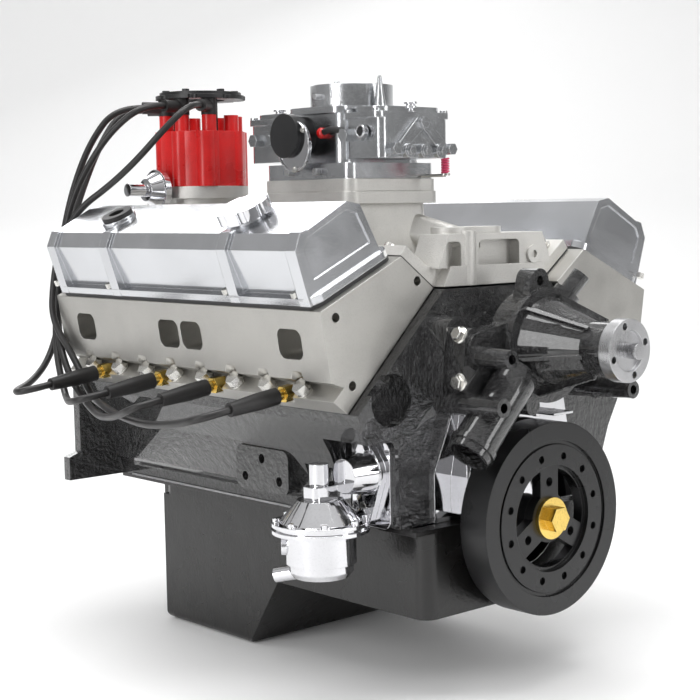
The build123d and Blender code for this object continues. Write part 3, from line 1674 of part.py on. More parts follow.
with BuildPart() as plug_boots:
    for along in plug_along:
        with BuildSketch(plug_plane(-1, along, 20)):
            Circle(9)
        extrude(amount=24)
        with BuildSketch(plug_plane(-1, along, 44)):
            Circle(9)
        extrude(amount=boot_end - 44, taper=3)
        with BuildSketch(plug_plane(-1, along, 20)):
            Circle(5.6)
        extrude(amount=16.5, mode=Mode.SUBTRACT)
    for angle, way in towers:
        foot = tower_point(angle)
        with BuildSketch(Plane(origin=foot, z_dir=(0, 0, 1))):
            Circle(9.5)
        extrude(amount=20)
        with BuildSketch(Plane(origin=foot + Vector(0, 0, 10), z_dir=tower_way(way))):
            Circle(7.5)
        extrude(amount=boot_reach)
save(plug_boots.part, "plug_boots")


# Plug leads of the right bank: straight runs joined by tangent arcs
def boot_point(along):
    end = plug_plane(-1, along, boot_end).origin
    return (end.X, end.Y, end.Z)


lead_exit = 34.0


def lead_route(tower, along, middle):
    out = plug_plane(-1, along, boot_end + lead_exit).origin
    return [tower_end(*tower), tower_end(*tower, lead_exit), *middle, (out.X, out.Y, out.Z), boot_point(along)]


def bend_radii(points):
    radii = []
    for a, b, c in zip(points, points[1:], points[2:]):
        first, second = Vector(*b) - Vector(*a), Vector(*c) - Vector(*b)
        turn = math.radians(first.get_angle(second))
        radii.append(0.45 * min(first.length, second.length) / math.tan(turn / 2))
    return radii


lead_routes = {
    "plug_lead_8": lead_route(towers[0], 172.0, [
        (-136, 34, 408), (-166, 26, 356), (-191, 20, 302), (-205, 16, 248), (-213, 12, 196),
        (-236, 0, 150), (-276, -28, 126), (-321, -62, 120)]),
    "plug_lead_6": lead_route(towers[1], 51.5, [
        (-164, 8, 412), (-186, 12, 362), (-203, 11, 310), (-214, 10, 256), (-222, 7, 206),
        (-232, -8, 164), (-250, -46, 136), (-270, -92, 113), (-294, -138, 114), (-316, -178, 118)]),
    "plug_lead_4": lead_route(towers[2], -51.5, [
        (-166, -44, 424), (-184, -14, 380), (-203, -4, 334), (-214, -2, 286), (-221, -2, 236),
        (-227, -6, 198), (-236, -26, 160), (-249, -72, 126), (-264, -126, 108), (-284, -184, 100),
        (-302, -232, 104), (-316, -278, 112)]),
    "plug_lead_2": lead_route(towers[3], -172.0, [
        (-136, -114, 424), (-158, -84, 386), (-176, -50, 356), (-200, -20, 330), (-224, -12, 290),
        (-234, -10, 240), (-240, -14, 196), (-232, -50, 152), (-240, -98, 110), (-262, -156, 108),
        (-286, -214, 108), (-302, -272, 106), (-314, -330, 106), (-322, -392, 114)])}

for label, points in lead_routes.items():
    radii = bend_radii(points)
    with BuildPart() as lead:
        with BuildLine() as path:
            FilletPolyline(*points, radius=radii)
        route = path.wires()[0]
        with BuildSketch(Plane(origin=route @ 0, z_dir=route % 0)):
            Circle(lead_r)
        sweep(path=route)
    section = math.pi * lead_r ** 2 * route.length
    print(label, "length", round(route.length), "radii", [round(r) for r in radii],
          "volume ratio", round(lead.part.volume / section, 4))
    save(lead.part, label)
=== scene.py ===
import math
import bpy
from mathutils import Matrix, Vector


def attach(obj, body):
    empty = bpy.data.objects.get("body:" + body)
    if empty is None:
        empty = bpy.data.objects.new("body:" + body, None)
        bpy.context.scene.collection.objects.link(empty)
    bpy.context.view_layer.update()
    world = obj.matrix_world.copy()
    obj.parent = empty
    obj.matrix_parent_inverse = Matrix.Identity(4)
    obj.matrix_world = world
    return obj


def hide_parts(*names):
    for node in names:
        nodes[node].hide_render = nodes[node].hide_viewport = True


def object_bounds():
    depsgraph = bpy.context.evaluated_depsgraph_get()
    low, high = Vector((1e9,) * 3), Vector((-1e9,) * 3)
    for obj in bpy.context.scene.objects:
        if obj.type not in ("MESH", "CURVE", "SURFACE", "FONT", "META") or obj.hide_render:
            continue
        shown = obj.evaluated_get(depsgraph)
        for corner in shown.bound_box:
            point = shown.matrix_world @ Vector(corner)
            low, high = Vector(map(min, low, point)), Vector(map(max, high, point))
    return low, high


bl_info = {
    "name": "V8 Engine Looks",
    "version": (1, 0, 0),
    "blender": (4, 5, 0),
    "location": "3D View > Sidebar > Engine",
    "description": "Dresses the packed V8 engine with its finishes, leads and small fittings",
    "category": "Object",
}

import bmesh
import bpy
from mathutils import Matrix, Vector

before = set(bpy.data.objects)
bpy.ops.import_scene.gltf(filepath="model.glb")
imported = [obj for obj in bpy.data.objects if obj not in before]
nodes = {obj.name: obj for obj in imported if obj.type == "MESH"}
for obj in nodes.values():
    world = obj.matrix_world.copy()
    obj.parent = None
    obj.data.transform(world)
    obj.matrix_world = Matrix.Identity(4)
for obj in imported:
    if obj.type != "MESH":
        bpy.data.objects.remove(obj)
cad_box = [list(corner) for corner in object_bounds()]

MM = 0.001


# Settings that a user would change
class EngineFinishSettings(bpy.types.PropertyGroup):
    """Colours of the engine's finishes."""

    block_paint: bpy.props.FloatVectorProperty(
        name="Block paint", description="Gloss paint of the block and the water pump", subtype="COLOR",
        size=3, min=0, max=1, default=(0.004, 0.004, 0.0045))
    pan_paint: bpy.props.FloatVectorProperty(
        name="Pan paint", description="Paint of the oil pan", subtype="COLOR", size=3, min=0, max=1,
        default=(0.009, 0.0085, 0.0082))
    cap_red: bpy.props.FloatVectorProperty(
        name="Distributor cap", description="Moulded plastic of the distributor's cap", subtype="COLOR",
        size=3, min=0, max=1, default=(0.62, 0.012, 0.012))
    jacket: bpy.props.FloatVectorProperty(
        name="Lead jacket", description="Jacket of the plug leads", subtype="COLOR", size=3, min=0, max=1,
        default=(0.013, 0.012, 0.012))
    gold_zinc: bpy.props.FloatVectorProperty(
        name="Gold zinc", description="Plating of the crank bolt and the plugs' shells", subtype="COLOR",
        size=3, min=0, max=1, default=(0.78, 0.56, 0.16))


class EngineSizeSettings(bpy.types.PropertyGroup):
    """Sizes of the small pieces that are dressed on."""

    lead_width: bpy.props.FloatProperty(
        name="Lead width", description="Diameter of a plug lead", default=0.008, min=0.005, max=0.012,
        unit="LENGTH")
    edge_round: bpy.props.FloatProperty(
        name="Edge rounding", description="Radius that a finish shows along its edges", default=0.0012,
        min=0, max=0.004, unit="LENGTH")


class EngineStageSettings(bpy.types.PropertyGroup):
    """The camera and the light of the stage."""

    lens: bpy.props.FloatProperty(
        name="Lens", description="Focal length of the camera", default=78.98, min=20, max=200)
    key_power: bpy.props.FloatProperty(
        name="Key light", description="Power of the main soft light", default=46, min=0, max=1000,
        unit="POWER")
    room_low: bpy.props.FloatProperty(
        name="Room glow, low", description="Brightness of the room near the floor", default=0.22, min=0, max=5)
    room_high: bpy.props.FloatProperty(
        name="Room glow, high", description="Brightness of the room overhead", default=0.75, min=0, max=5)


# Shader node groups, each made once and used by many finishes
def new_group(name, inputs, outputs):
    group = bpy.data.node_groups.new(name, "ShaderNodeTree")
    for label, kind, value in inputs:
        socket = group.interface.new_socket(name=label, in_out="INPUT", socket_type=kind)
        socket.default_value = value
    for label, kind in outputs:
        group.interface.new_socket(name=label, in_out="OUTPUT", socket_type=kind)
    return group, group.nodes.new("NodeGroupInput"), group.nodes.new("NodeGroupOutput")


def noise_node(tree, coords, scale, detail=3.0, rough=0.5):
    noise = tree.nodes.new("ShaderNodeTexNoise")
    noise.inputs["Detail"].default_value = detail
    noise.inputs["Roughness"].default_value = rough
    tree.links.new(coords, noise.inputs["Vector"])
    if isinstance(scale, (int, float)):
        noise.inputs["Scale"].default_value = scale
    else:
        tree.links.new(scale, noise.inputs["Scale"])
    return noise.outputs["Fac"]


def math_node(tree, operation, first, second=None, third=None):
    node = tree.nodes.new("ShaderNodeMath")
    node.operation = operation
    for k, value in enumerate((first, second, third)):
        if value is None:
            continue
        if isinstance(value, (int, float)):
            node.inputs[k].default_value = value
        else:
            tree.links.new(value, node.inputs[k])
    return node.outputs[0]


def range_node(tree, value, low, high, to_low, to_high):
    node = tree.nodes.new("ShaderNodeMapRange")
    for label, item in (("Value", value), ("From Min", low), ("From Max", high), ("To Min", to_low),
                        ("To Max", to_high)):
        if isinstance(item, (int, float)):
            node.inputs[label].default_value = item
        else:
            tree.links.new(item, node.inputs[label])
    return node.outputs["Result"]


def make_cast_skin():
    """The lumps and pits of a sand casting under its finish."""
    group, start, end = new_group(
        "Cast skin",
        [("Vector", "NodeSocketVector", (0, 0, 0)), ("Grain", "NodeSocketFloat", 500.0),
         ("Lumps", "NodeSocketFloat", 120.0), ("Lump share", "NodeSocketFloat", 0.5)],
        [("Height", "NodeSocketFloat"), ("Pits", "NodeSocketFloat")])
    fine = noise_node(group, start.outputs["Vector"], start.outputs["Grain"], 4.0, 0.6)
    coarse = noise_node(group, start.outputs["Vector"], start.outputs["Lumps"], 2.0, 0.5)
    weighted = math_node(group, "MULTIPLY", coarse, start.outputs["Lump share"])
    height = math_node(group, "ADD", fine, weighted)
    group.links.new(height, end.inputs["Height"])
    group.links.new(range_node(group, fine, 0.36, 0.5, 1.0, 0.0), end.inputs["Pits"])
    return group


def make_tool_marks():
    """Fine streaks that a cutter or a polishing belt leaves, drawn out along one way."""
    group, start, end = new_group(
        "Tool marks",
        [("Vector", "NodeSocketVector", (0, 0, 0)), ("Stretch", "NodeSocketVector", (1.0, 0.02, 1.0)),
         ("Fineness", "NodeSocketFloat", 900.0)],
        [("Streaks", "NodeSocketFloat")])
    stretch = group.nodes.new("ShaderNodeVectorMath")
    stretch.operation = "MULTIPLY"
    group.links.new(start.outputs["Vector"], stretch.inputs[0])
    group.links.new(start.outputs["Stretch"], stretch.inputs[1])
    streaks = noise_node(group, stretch.outputs[0], start.outputs["Fineness"], 5.0, 0.65)
    group.links.new(streaks, end.inputs["Streaks"])
    return group


def make_handling():
    """Broad soft patches where a surface was wiped, touched or oiled."""
    group, start, end = new_group(
        "Handling marks",
        [("Vector", "NodeSocketVector", (0, 0, 0)), ("Patch size", "NodeSocketFloat", 14.0)],
        [("Patches", "NodeSocketFloat"), ("Specks", "NodeSocketFloat")])
    patches = noise_node(group, start.outputs["Vector"], start.outputs["Patch size"], 3.0, 0.55)
    specks = noise_node(group, start.outputs["Vector"], 1400.0, 2.0, 0.5)
    group.links.new(range_node(group, patches, 0.35, 0.68, 0.0, 1.0), end.inputs["Patches"])
    group.links.new(range_node(group, specks, 0.66, 0.72, 0.0, 1.0), end.inputs["Specks"])
    return group


groups = {}


def place_group(tree, name, coords, **values):
    node = tree.nodes.new("ShaderNodeGroup")
    node.node_tree = groups[name]
    tree.links.new(coords, node.inputs["Vector"])
    for label, value in values.items():
        node.inputs[label.replace("_", " ").capitalize()].default_value = value
    return node.outputs


def finish_material(name, colour, metallic=0.0, roughness=0.4, spread=0.1, grain=500.0, lumps=120.0,
                    lump_share=0.5, depth=0.0, streak=None, fineness=900.0, streak_depth=0.0, tone=0.12,
                    coat=0.0, coat_rough=0.1, edges=None):
    """A finish with cast grain, tool marks and handling marks in its colour, gloss and bump."""
    if edges is None:
        edges = bpy.context.scene.engine_size.edge_round
    material = bpy.data.materials.new(name)
    material.use_nodes = True
    tree = material.node_tree
    shader = tree.nodes["Principled BSDF"]
    coords = tree.nodes.new("ShaderNodeTexCoord").outputs["Object"]
    cast = place_group(tree, "Cast skin", coords, grain=grain, lumps=lumps, lump_share=lump_share)
    wiped = place_group(tree, "Handling marks", coords, patch_size=14.0)
    mix = tree.nodes.new("ShaderNodeMix")
    mix.data_type = "RGBA"
    mix.inputs[6].default_value = (*[c * (1 - 2 * tone) for c in colour], 1)
    mix.inputs[7].default_value = (*[min(1, c * (1 + tone)) for c in colour], 1)
    blend_value = math_node(tree, "MULTIPLY_ADD", cast["Pits"], -0.45, wiped["Patches"])
    tree.links.new(range_node(tree, blend_value, -0.4, 0.8, 0.0, 1.0), mix.inputs[0])
    tree.links.new(mix.outputs[2], shader.inputs["Base Color"])
    shader.inputs["Metallic"].default_value = metallic
    shader.inputs["Coat Weight"].default_value = coat
    shader.inputs["Coat Roughness"].default_value = coat_rough
    rough = range_node(tree, wiped["Patches"], 0.0, 1.0, roughness - spread / 2, roughness + spread / 2)
    height = cast["Height"]
    if streak:
        marks = place_group(tree, "Tool marks", coords, stretch=streak, fineness=fineness)["Streaks"]
        rough = math_node(tree, "MULTIPLY_ADD", marks, spread, rough)
    tree.links.new(rough, shader.inputs["Roughness"])
    bump = tree.nodes.new("ShaderNodeBump")
    bump.inputs["Distance"].default_value = depth
    tree.links.new(height, bump.inputs["Height"])
    normal = bump.outputs["Normal"]
    if edges:
        bevel = tree.nodes.new("ShaderNodeBevel")
        bevel.samples = 4
        bevel.inputs["Radius"].default_value = edges
        tree.links.new(bevel.outputs["Normal"], bump.inputs["Normal"])
    if streak and streak_depth:
        lines = tree.nodes.new("ShaderNodeBump")
        lines.inputs["Distance"].default_value = streak_depth
        tree.links.new(marks, lines.inputs["Height"])
        tree.links.new(normal, lines.inputs["Normal"])
        normal = lines.outputs["Normal"]
    tree.links.new(normal, shader.inputs["Normal"])
    return material


materials = {}


class ENGINE_OT_finishes(bpy.types.Operator):
    """Makes the shared effects and every finish of the engine"""

    bl_idname = "engine.finishes"
    bl_label = "Make finishes"

    def execute(self, context):
        paint = context.scene.engine_finish
        groups["Cast skin"] = make_cast_skin()
        groups["Tool marks"] = make_tool_marks()
        groups["Handling marks"] = make_handling()
        along = (1.0, 0.02, 1.0)
        turned = (1.0, 1.0, 0.03)
        make = finish_material
        materials.update({
            "gloss black casting": make(
                "gloss black casting", tuple(paint.block_paint), roughness=0.16, grain=260, lumps=90,
                lump_share=1.6, depth=0.006, tone=0.3, coat=1.0, coat_rough=0.03),
            "black pump casting": make(
                "black pump casting", tuple(paint.block_paint), roughness=0.16, grain=260, lumps=70,
                lump_share=1.6, depth=0.0045, tone=0.3, coat=1.0, coat_rough=0.03),
            "head aluminium": make(
                "head aluminium", (0.5, 0.49, 0.465), 1.0, 0.36, 0.1, 900, 60, 0.2, 0.00008, along, 700,
                0.00005, 0.06),
            "polished cover": make(
                "polished cover", (0.6, 0.61, 0.63), 1.0, 0.17, 0.08, 700, 40, 0.2, 0.00003, along, 500,
                0.00004, 0.04),
            "cast aluminium": make(
                "cast aluminium", (0.6, 0.59, 0.565), 0.85, 0.5, 0.1, 700, 120, 0.5, 0.00035, tone=0.07),
            "tumbled zinc": make(
                "tumbled zinc", (0.56, 0.57, 0.585), 1.0, 0.2, 0.1, 600, 160, 0.6, 0.0002, tone=0.1),
            "chrome": make(
                "chrome", (0.7, 0.7, 0.72), 1.0, 0.06, 0.04, 500, 30, 0.2, 0.00001, tone=0.05),
            "satin black": make(
                "satin black", (0.006, 0.006, 0.0065), 0.0, 0.3, 0.1, 800, 80, 0.4, 0.00008, tone=0.3),
            "pan paint": make(
                "pan paint", tuple(paint.pan_paint), 0.0, 0.27, 0.12, 260, 24, 2.0, 0.0003, tone=0.2),
            "machined steel": make(
                "machined steel", (0.56, 0.56, 0.57), 1.0, 0.26, 0.1, 900, 80, 0.3, 0.00003, turned, 900,
                0.00003, 0.1),
            "oiled steel": make(
                "oiled steel", (0.2, 0.19, 0.18), 1.0, 0.33, 0.14, 700, 90, 0.4, 0.00008, turned, 700, 0.00003,
                0.15),
            "zinc bolt": make(
                "zinc bolt", (0.66, 0.65, 0.62), 1.0, 0.24, 0.1, 900, 90, 0.3, 0.00003, edges=0.0005),
            "gold zinc": make(
                "gold zinc", tuple(paint.gold_zinc), 1.0, 0.24, 0.12, 600, 70, 0.4, 0.00005, tone=0.18,
                edges=0.0006),
            "gasket": make(
                "gasket", (0.035, 0.035, 0.036), 0.0, 0.75, 0.1, 1300, 200, 0.4, 0.0001, tone=0.2, edges=0),
            "red plastic": make(
                "red plastic", tuple(paint.cap_red), 0.0, 0.3, 0.12, 900, 100, 0.3, 0.00005, tone=0.16),
            "black plastic": make(
                "black plastic", (0.012, 0.012, 0.013), 0.0, 0.4, 0.12, 1000, 140, 0.4, 0.00008, tone=0.25),
            "black rubber": make(
                "black rubber", (0.014, 0.013, 0.013), 0.0, 0.5, 0.14, 900, 110, 0.5, 0.0001, tone=0.25,
                edges=0.0008),
            "lead jacket": make(
                "lead jacket", tuple(paint.jacket), 0.0, 0.42, 0.12, 900, 110, 0.4, 0.00005, tone=0.25,
                edges=0),
            "pink spring wire": make(
                "pink spring wire", (0.72, 0.06, 0.16), 0.0, 0.3, 0.1, 900, 90, 0.3, 0.00003, edges=0),
        })
        return {"FINISHED"}


finish_of = {
    "cylinder_block": "gloss black casting",
    "main_caps": "oiled steel",
    "cylinder_head_right": "head aluminium",
    "cylinder_head_left": "head aluminium",
    "head_gaskets": "gasket",
    "head_bolts": "zinc bolt",
    "valve_cover_left": "polished cover",
    "valve_cover_right": "polished cover",
    "valve_cover_gaskets": "gasket",
    "cover_bolts": "zinc bolt",
    "pcv_grommet": "black rubber",
    "oil_filler_cap": "chrome",
    "intake_manifold": "cast aluminium",
    "intake_gaskets": "gasket",
    "intake_bolts": "zinc bolt",
    "carburetor_spacer": "cast aluminium",
    "throttle_body": "tumbled zinc",
    "carburetor_body": "tumbled zinc",
    "fuel_bowl_front": "tumbled zinc",
    "fuel_bowl_rear": "tumbled zinc",
    "choke_housing": "black plastic",
    "diaphragm_cover": "tumbled zinc",
    "throttle_shaft_front": "machined steel",
    "throttle_shaft_rear": "machined steel",
    "choke_plate": "machined steel",
    "distributor_housing": "cast aluminium",
    "distributor_cap": "red plastic",
    "wire_retainer": "black plastic",
    "vacuum_advance": "chrome",
    "distributor_shaft": "oiled steel",
    "crankshaft": "oiled steel",
    "crank_sprocket": "oiled steel",
    "cam_sprocket": "oiled steel",
    "timing_chain": "oiled steel",
    "camshaft": "oiled steel",
    "damper_hub": "satin black",
    "damper_ring": "satin black",
    "damper_bolt": "gold zinc",
    "pistons": "cast aluminium",
    "piston_pins": "machined steel",
    "connecting_rods": "oiled steel",
    "lifters": "machined steel",
    "pushrods": "machined steel",
    "rocker_arms": "machined steel",
    "valves": "machined steel",
    "valve_springs": "oiled steel",
    "timing_cover": "chrome",
    "timing_tab": "chrome",
    "water_pump_housing": "black pump casting",
    "water_pump_hub": "machined steel",
    "oil_pan": "pan paint",
    "oil_pump": "oiled steel",
    "fuel_pump_plate": "chrome",
    "fuel_pump": "chrome",
    "spark_plugs": "gold zinc",
    "plug_boots": "black rubber",
    "plug_lead_8": "lead jacket",
    "plug_lead_6": "lead jacket",
    "plug_lead_4": "lead jacket",
    "plug_lead_2": "lead jacket",
}


class ENGINE_OT_dress_nodes(bpy.types.Operator):
    """Gives every solid of the engine its finish"""

    bl_idname = "engine.dress_nodes"
    bl_label = "Dress the solids"

    def execute(self, context):
        for name, finish in finish_of.items():
            solid = nodes[name]
            if not solid.material_slots:
                solid.data.materials.append(materials[finish])
            for slot in solid.material_slots:
                slot.material = materials[finish]
        return {"FINISHED"}


# Plug leads of the right bank: where the cap's towers and the plugs are, and the leads' routes, in mm
cap_middle_x, cap_middle_y = -36, -46
tower_pitch = 44
tower_height = 453.0
boot_reach = 30
plug_seat_x, plug_seat_z = -213, 140
bank_middle_y = -268.025
boot_drop = math.radians(8)
boot_end = 79.0
lead_exit = 34.0
lead_routes = {
    "plug_lead_8": ((112.5, 140), 172.0, [
        (-136, 34, 408), (-166, 26, 356), (-191, 20, 302), (-205, 16, 248), (-213, 12, 196), (-236, 0, 150),
        (-276, -28, 126), (-321, -62, 120)]),
    "plug_lead_6": ((157.5, 160), 51.5, [
        (-164, 8, 412), (-186, 12, 362), (-203, 11, 310), (-214, 10, 256), (-222, 7, 206), (-232, -8, 164),
        (-250, -46, 136), (-270, -92, 113), (-294, -138, 114), (-316, -178, 118)]),
    "plug_lead_4": ((202.5, 190), -51.5, [
        (-166, -44, 424), (-184, -14, 380), (-203, -4, 334), (-214, -2, 286), (-221, -2, 236),
        (-227, -6, 198), (-236, -26, 160), (-249, -72, 126), (-264, -126, 108), (-284, -184, 100),
        (-302, -232, 104), (-316, -278, 112)]),
    "plug_lead_2": ((247.5, 215), -172.0, [
        (-136, -114, 424), (-158, -84, 386), (-176, -50, 356), (-200, -20, 330), (-224, -12, 290),
        (-234, -10, 240), (-240, -14, 196), (-232, -50, 152), (-240, -98, 110), (-262, -156, 108),
        (-286, -214, 108), (-302, -272, 106), (-314, -330, 106), (-322, -392, 114)]),
}


def tower_exit(angle, way, reach):
    """A point on the axis of a boot at the cap, some way out from its tower's middle."""
    turn, out = math.radians(angle), math.radians(way)
    return (cap_middle_x + tower_pitch * math.cos(turn) + reach * math.cos(out),
            cap_middle_y + tower_pitch * math.sin(turn) + reach * math.sin(out), tower_height)


def boot_mouth(along, reach):
    """A point on a right plug's axis, some way out from its seat."""
    return (plug_seat_x - reach * math.cos(boot_drop), bank_middle_y + along,
            plug_seat_z - reach * math.sin(boot_drop))


def nurbs_line(name, points, radius, material):
    curve = bpy.data.curves.new(name, "CURVE")
    curve.dimensions = "3D"
    spline = curve.splines.new("NURBS")
    spline.points.add(len(points) - 1)
    for point, place in zip(spline.points, points):
        point.co = (place[0] * MM, place[1] * MM, place[2] * MM, 1)
    spline.order_u = 3
    spline.use_endpoint_u = True
    spline.resolution_u = 10
    curve.bevel_depth = radius
    curve.bevel_resolution = 5
    curve.use_fill_caps = True
    piece = bpy.data.objects.new(name, curve)
    bpy.context.scene.collection.objects.link(piece)
    piece.data.materials.append(material)
    return piece


class ENGINE_OT_plug_leads(bpy.types.Operator):
    """Lays the four plug leads from the distributor to the right bank's plugs"""

    bl_idname = "engine.plug_leads"
    bl_label = "Lay the plug leads"

    def execute(self, context):
        width = context.scene.engine_size.lead_width
        for name, (tower, along, middle) in lead_routes.items():
            points = [tower_exit(*tower, boot_reach), tower_exit(*tower, boot_reach + lead_exit), *middle,
                      boot_mouth(along, boot_end + lead_exit), boot_mouth(along, boot_end)]
            lead = nurbs_line(name + "_jacket", points, width / 2, materials["lead jacket"])
            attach(lead, "block")
            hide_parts(name)
        return {"FINISHED"}


# Small fittings that the photograph shows on the carburettor, the pump and the rail
def turned(name, foot, axis, profile, finish, slot, sides=36, flats=0):
    """A turned piece: (reach, radius) pairs along an axis from its foot, in mm, or a hexagon with flats."""
    mesh = bpy.data.meshes.new(name)
    shape = bmesh.new()
    way = Vector(axis).normalized()
    first = way.orthogonal().normalized()
    second = way.cross(first)
    count = flats or sides
    rings = []
    for reach, radius in profile:
        middle = Vector(foot) + way * reach
        rings.append([shape.verts.new(
            (middle + (first * math.cos(2 * math.pi * k / count) + second * math.sin(2 * math.pi * k / count))
             * radius) * MM) for k in range(count)])
    for low, high in zip(rings, rings[1:]):
        for k in range(count):
            after = (k + 1) % count
            shape.faces.new((low[k], low[after], high[after], high[k])).smooth = True
    shape.faces.new(list(reversed(rings[0])))
    shape.faces.new(rings[-1])
    bmesh.ops.recalc_face_normals(shape, faces=shape.faces)
    shape.to_mesh(mesh)
    shape.free()
    mesh.set_sharp_from_angle(angle=math.radians(32))
    mesh.materials.append(materials[finish])
    piece = bpy.data.objects.new(name, mesh)
    bpy.context.scene.collection.objects.link(piece)
    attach(piece, "block")
    return piece


def flange_bolt(name, foot, axis, across=6.2):
    """A plated hex bolt with its own washer face."""
    turned(name + "_washer", foot, axis, [(-1.0, across + 2.0), (1.0, across + 2.0), (2.2, across + 0.6)],
           "zinc bolt", "steel")
    turned(name + "_head", foot, axis, [(1.2, across - 0.3), (1.8, across), (6.6, across), (7.4, across - 0.9)],
           "zinc bolt", "steel", flats=6)


class ENGINE_OT_carburettor_fittings(bpy.types.Operator):
    """Sets the nozzles, the stud, the choke's ring, the vacuum cap and the pump spring on the carburettor"""

    bl_idname = "engine.carburettor_fittings"
    bl_label = "Fit the carburettor"

    def execute(self, context):
        knob = [(-1, 5.2), (2, 5.2), (2.4, 3.4), (5, 3.4), (5.4, 7.2), (7.6, 7.2), (8, 5), (9.6, 5), (10, 7.6),
                (12, 7.6), (12.6, 6.6), (12.6, 3.2), (9, 3.0)]
        for name, foot in (("nozzle_front", (0, -396, 430)), ("nozzle_rear", (-40, -212, 430))):
            turned(name, foot, (0, 0, 1), knob, "chrome", "chrome_cover")
        turned("air_cleaner_stud", (-8, -354, 431), (0, 0, 1),
               [(-1, 10), (2, 10), (3, 8.4), (20, 5.2), (41, 2.4), (43, 1.6)], "tumbled zinc",
               "aluminium")
        cap_middle = Vector((-86, -287, 396))
        turned("choke_ring", cap_middle + Vector((8, 0, 0)), (-1, 0, 0),
               [(0, 27.6), (0, 29.2), (3.4, 29.2), (4.2, 28.4), (4.2, 26.6), (2.6, 26.2)], "chrome",
               "chrome_cover")
        for k, turn in enumerate((20, 140, 260)):
            way = math.radians(turn)
            spot = cap_middle + Vector((3.6, 27.0 * math.cos(way), 27.0 * math.sin(way)))
            turned("choke_screw_%d" % (k + 1), spot, (-1, 0, 0),
                   [(0, 3.4), (2.2, 3.4), (3.2, 2.4), (3.2, 0.9), (2.4, 0.6)], "zinc bolt", "steel", sides=20)
        turned("vacuum_cap", (-55, -313, 410), (-1, 0, 0),
               [(0, 5.4), (2, 6.2), (7, 6.2), (9.5, 4.6), (11, 2.0)], "red plastic", "red_cap")
        hose_route = [(-61, -318, 411), (-62, -326, 413), (-62, -338, 413), (-60, -350, 411)]
        hose = nurbs_line("vacuum_hose", hose_route, 0.0036, materials["black rubber"])
        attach(hose, "block")
        turned("sight_plug", (-57, -378, 409), (-1, 0, 0.1),
               [(-3, 7.5), (2.5, 7.5), (3.2, 6.6), (3.2, 5.6), (1.2, 5.2)], "chrome", "chrome_cover")
        turned("sight_glass", (-57, -378, 409), (-1, 0, 0.1), [(-2, 5.1), (2.0, 5.1), (2.3, 4.0)],
               "black plastic", "black_plastic")
        turns, steps = 6, 10
        coil = [(45 + 4.2 * math.cos(2 * math.pi * k / steps), -404 + 4.2 * math.sin(2 * math.pi * k / steps),
                 363 + 17.0 * k / (turns * steps)) for k in range(turns * steps + 1)]
        spring = nurbs_line("pump_spring", coil, 0.0011, materials["pink spring wire"])
        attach(spring, "block")
        turned("spring_seat", (45, -404, 360.5), (0, 0, 1), [(0, 5.6), (2.2, 5.6), (2.6, 5.0)],
               "zinc bolt", "steel")
        turned("spring_arm", (40, -362, 361), (0.119, -0.993, 0), [(0, 2.0), (42, 2.0)], "zinc bolt", "steel",
               sides=16)
        return {"FINISHED"}


class ENGINE_OT_front_fittings(bpy.types.Operator):
    """Sets the plated bolts of the pump and the fuel pump's plate, and lays the pan rail's gasket"""

    bl_idname = "engine.front_fittings"
    bl_label = "Fit the front and the rail"

    def execute(self, context):
        flange_bolt("pump_bolt_upper", (-103, -574, 197), (-0.91, 0, 0.43), 7.2)
        flange_bolt("pump_bolt_lower", (-109, -579, 151), (-1, 0, 0), 7.2)
        flange_bolt("plate_bolt_upper", (-154, -479, 48), (-1, 0, 0), 5.6)
        flange_bolt("plate_bolt_lower", (-154, -488, 21), (-1, 0, 0), 5.6)
        for name, side in (("rail_gasket_right", -1), ("rail_gasket_left", 1)):
            mesh = bpy.data.meshes.new(name)
            shape = bmesh.new()
            bmesh.ops.create_cube(shape, size=1.0)
            for corner in shape.verts:
                corner.co = Vector((side * (147.6 + 3.6 * corner.co.x), -266 + 456 * corner.co.y,
                                    0.4 + 2.0 * corner.co.z)) * MM
            bmesh.ops.bevel(shape, geom=shape.edges[:], offset=0.0005, segments=2, affect="EDGES")
            bmesh.ops.recalc_face_normals(shape, faces=shape.faces)
            shape.to_mesh(mesh)
            shape.free()
            mesh.materials.append(materials["machined steel"])
            piece = bpy.data.objects.new(name, mesh)
            context.scene.collection.objects.link(piece)
            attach(piece, "block")
        return {"FINISHED"}


# Stage
def soft_light(name, place, target, size, power, colour=(1, 1, 1)):
    light = bpy.data.lights.new(name, "AREA")
    light.shape = "RECTANGLE"
    light.size, light.size_y = size
    light.energy = power
    light.color = colour
    lamp = bpy.data.objects.new(name, light)
    lamp.location = place
    lamp.rotation_mode = "QUATERNION"
    lamp.rotation_quaternion = (Vector(target) - Vector(place)).to_track_quat("-Z", "Y")
    bpy.context.scene.collection.objects.link(lamp)
    return lamp


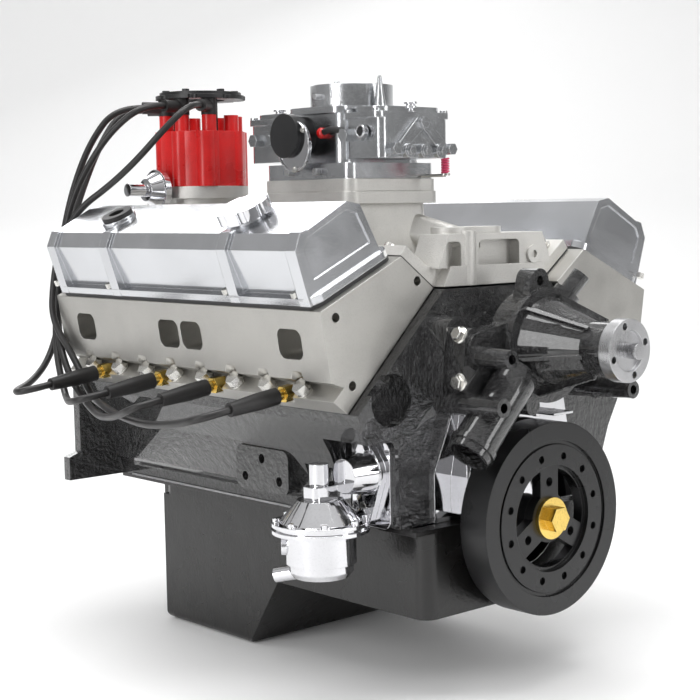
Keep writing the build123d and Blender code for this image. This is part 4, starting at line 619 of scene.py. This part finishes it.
class ENGINE_OT_stage(bpy.types.Operator):
    """Sets the camera, the pale floor and the studio light"""

    bl_idname = "engine.stage"
    bl_label = "Set the stage"

    def execute(self, context):
        scene = context.scene
        settings = scene.engine_stage
        camera_data = bpy.data.cameras.new("Camera")
        camera = bpy.data.objects.new("Camera", camera_data)
        scene.collection.objects.link(camera)
        scene.camera = camera
        camera_data.sensor_width = 36
        camera_data.lens = settings.lens
        camera_data.shift_x = -0.0939
        camera_data.shift_y = 0.0066
        camera_data.clip_end = 20
        yaw, pitch, roll = math.radians(43.074), math.radians(-5.514), math.radians(-0.851)
        ahead = Vector((math.sin(yaw) * math.cos(pitch), math.cos(yaw) * math.cos(pitch), math.sin(pitch)))
        right = Vector((math.cos(yaw), -math.sin(yaw), 0))
        up = right.cross(ahead)
        tilted = right * math.cos(roll) + up * math.sin(roll)
        upright = up * math.cos(roll) - right * math.sin(roll)
        turn = Matrix((tilted, upright, -ahead)).transposed()
        camera.matrix_world = Matrix.Translation((-1.18095, -1.66162, 0.32617)) @ turn.to_4x4()

        floor_mesh = bpy.data.meshes.new("floor")
        floor = bpy.data.objects.new("floor", floor_mesh)
        scene.collection.objects.link(floor)
        shape = bmesh.new()
        level = cad_box[0][2] - 0.0005
        rows = [(-6.0, level), (1.6, level), (2.4, level + 0.12), (2.9, level + 0.5), (3.1, level + 1.2),
                (3.15, level + 4.0)]
        ahead_flat = Vector((math.sin(yaw), math.cos(yaw), 0))
        rings = []
        for reach, height in rows:
            middle = ahead_flat * reach
            rings.append([shape.verts.new((*(middle + right * side)[:2], height)) for side in (-6, 6)])
        for low, high in zip(rings, rings[1:]):
            shape.faces.new((low[0], low[1], high[1], high[0])).smooth = True
        shape.to_mesh(floor_mesh)
        shape.free()
        white = bpy.data.materials.new("studio white")
        white.use_nodes = True
        white.node_tree.nodes["Principled BSDF"].inputs["Base Color"].default_value = (0.93, 0.93, 0.93, 1)
        white.node_tree.nodes["Principled BSDF"].inputs["Roughness"].default_value = 0.7
        floor_mesh.materials.append(white)

        world = scene.world or bpy.data.worlds.new("Studio")
        scene.world = world
        world.use_nodes = True
        world_tree = world.node_tree
        heading = world_tree.nodes.new("ShaderNodeTexCoord").outputs["Generated"]
        parts = world_tree.nodes.new("ShaderNodeSeparateXYZ")
        world_tree.links.new(heading, parts.inputs[0])
        glow = range_node(world_tree, parts.outputs["Z"], -0.1, 0.9, settings.room_low, settings.room_high)
        world_tree.links.new(glow, world_tree.nodes["Background"].inputs["Strength"])
        world_tree.nodes["Background"].inputs["Color"].default_value = (1, 1, 1, 1)
        middle = (0, -0.3, 0.15)
        key = settings.key_power
        soft_light("top light", (-0.2, -0.5, 2.4), middle, (2.2, 1.0), key)
        soft_light("left light", (-2.6, -0.5, 0.9), middle, (0.7, 1.9), key * 0.55)
        soft_light("front light", (0.9, -2.9, 1.1), middle, (0.6, 1.9), key * 0.42)
        soft_light("back light", (1.2, 2.2, 1.8), middle, (2.4, 1.2), key * 0.6)
        scene.view_settings.view_transform = "Standard"
        return {"FINISHED"}


class ENGINE_PT_panel(bpy.types.Panel):
    """Lists the steps that dress the engine"""

    bl_idname = "ENGINE_PT_panel"
    bl_label = "V8 engine"
    bl_space_type = "VIEW_3D"
    bl_region_type = "UI"
    bl_category = "Engine"

    def draw(self, context):
        for step in steps:
            self.layout.operator(step)
        for group in ("engine_finish", "engine_size", "engine_stage"):
            settings = getattr(context.scene, group)
            for key in settings.bl_rna.properties.keys():
                if key not in ("rna_type", "name"):
                    self.layout.prop(settings, key)


classes = (EngineFinishSettings, EngineSizeSettings, EngineStageSettings, ENGINE_OT_finishes,
           ENGINE_OT_dress_nodes, ENGINE_OT_plug_leads, ENGINE_OT_carburettor_fittings,
           ENGINE_OT_front_fittings, ENGINE_OT_stage, ENGINE_PT_panel)
steps = ("engine.finishes", "engine.dress_nodes", "engine.plug_leads", "engine.carburettor_fittings",
         "engine.front_fittings", "engine.stage")


def register():
    for item in classes:
        bpy.utils.register_class(item)
    bpy.types.Scene.engine_finish = bpy.props.PointerProperty(type=EngineFinishSettings)
    bpy.types.Scene.engine_size = bpy.props.PointerProperty(type=EngineSizeSettings)
    bpy.types.Scene.engine_stage = bpy.props.PointerProperty(type=EngineStageSettings)


def unregister():
    for group in ("engine_finish", "engine_size", "engine_stage"):
        delattr(bpy.types.Scene, group)
    for item in reversed(classes):
        bpy.utils.unregister_class(item)


def main():
    register()
    for step in steps:
        space, name = step.split(".")
        getattr(getattr(bpy.ops, space), name)()


if __name__ == "__main__":
    main()
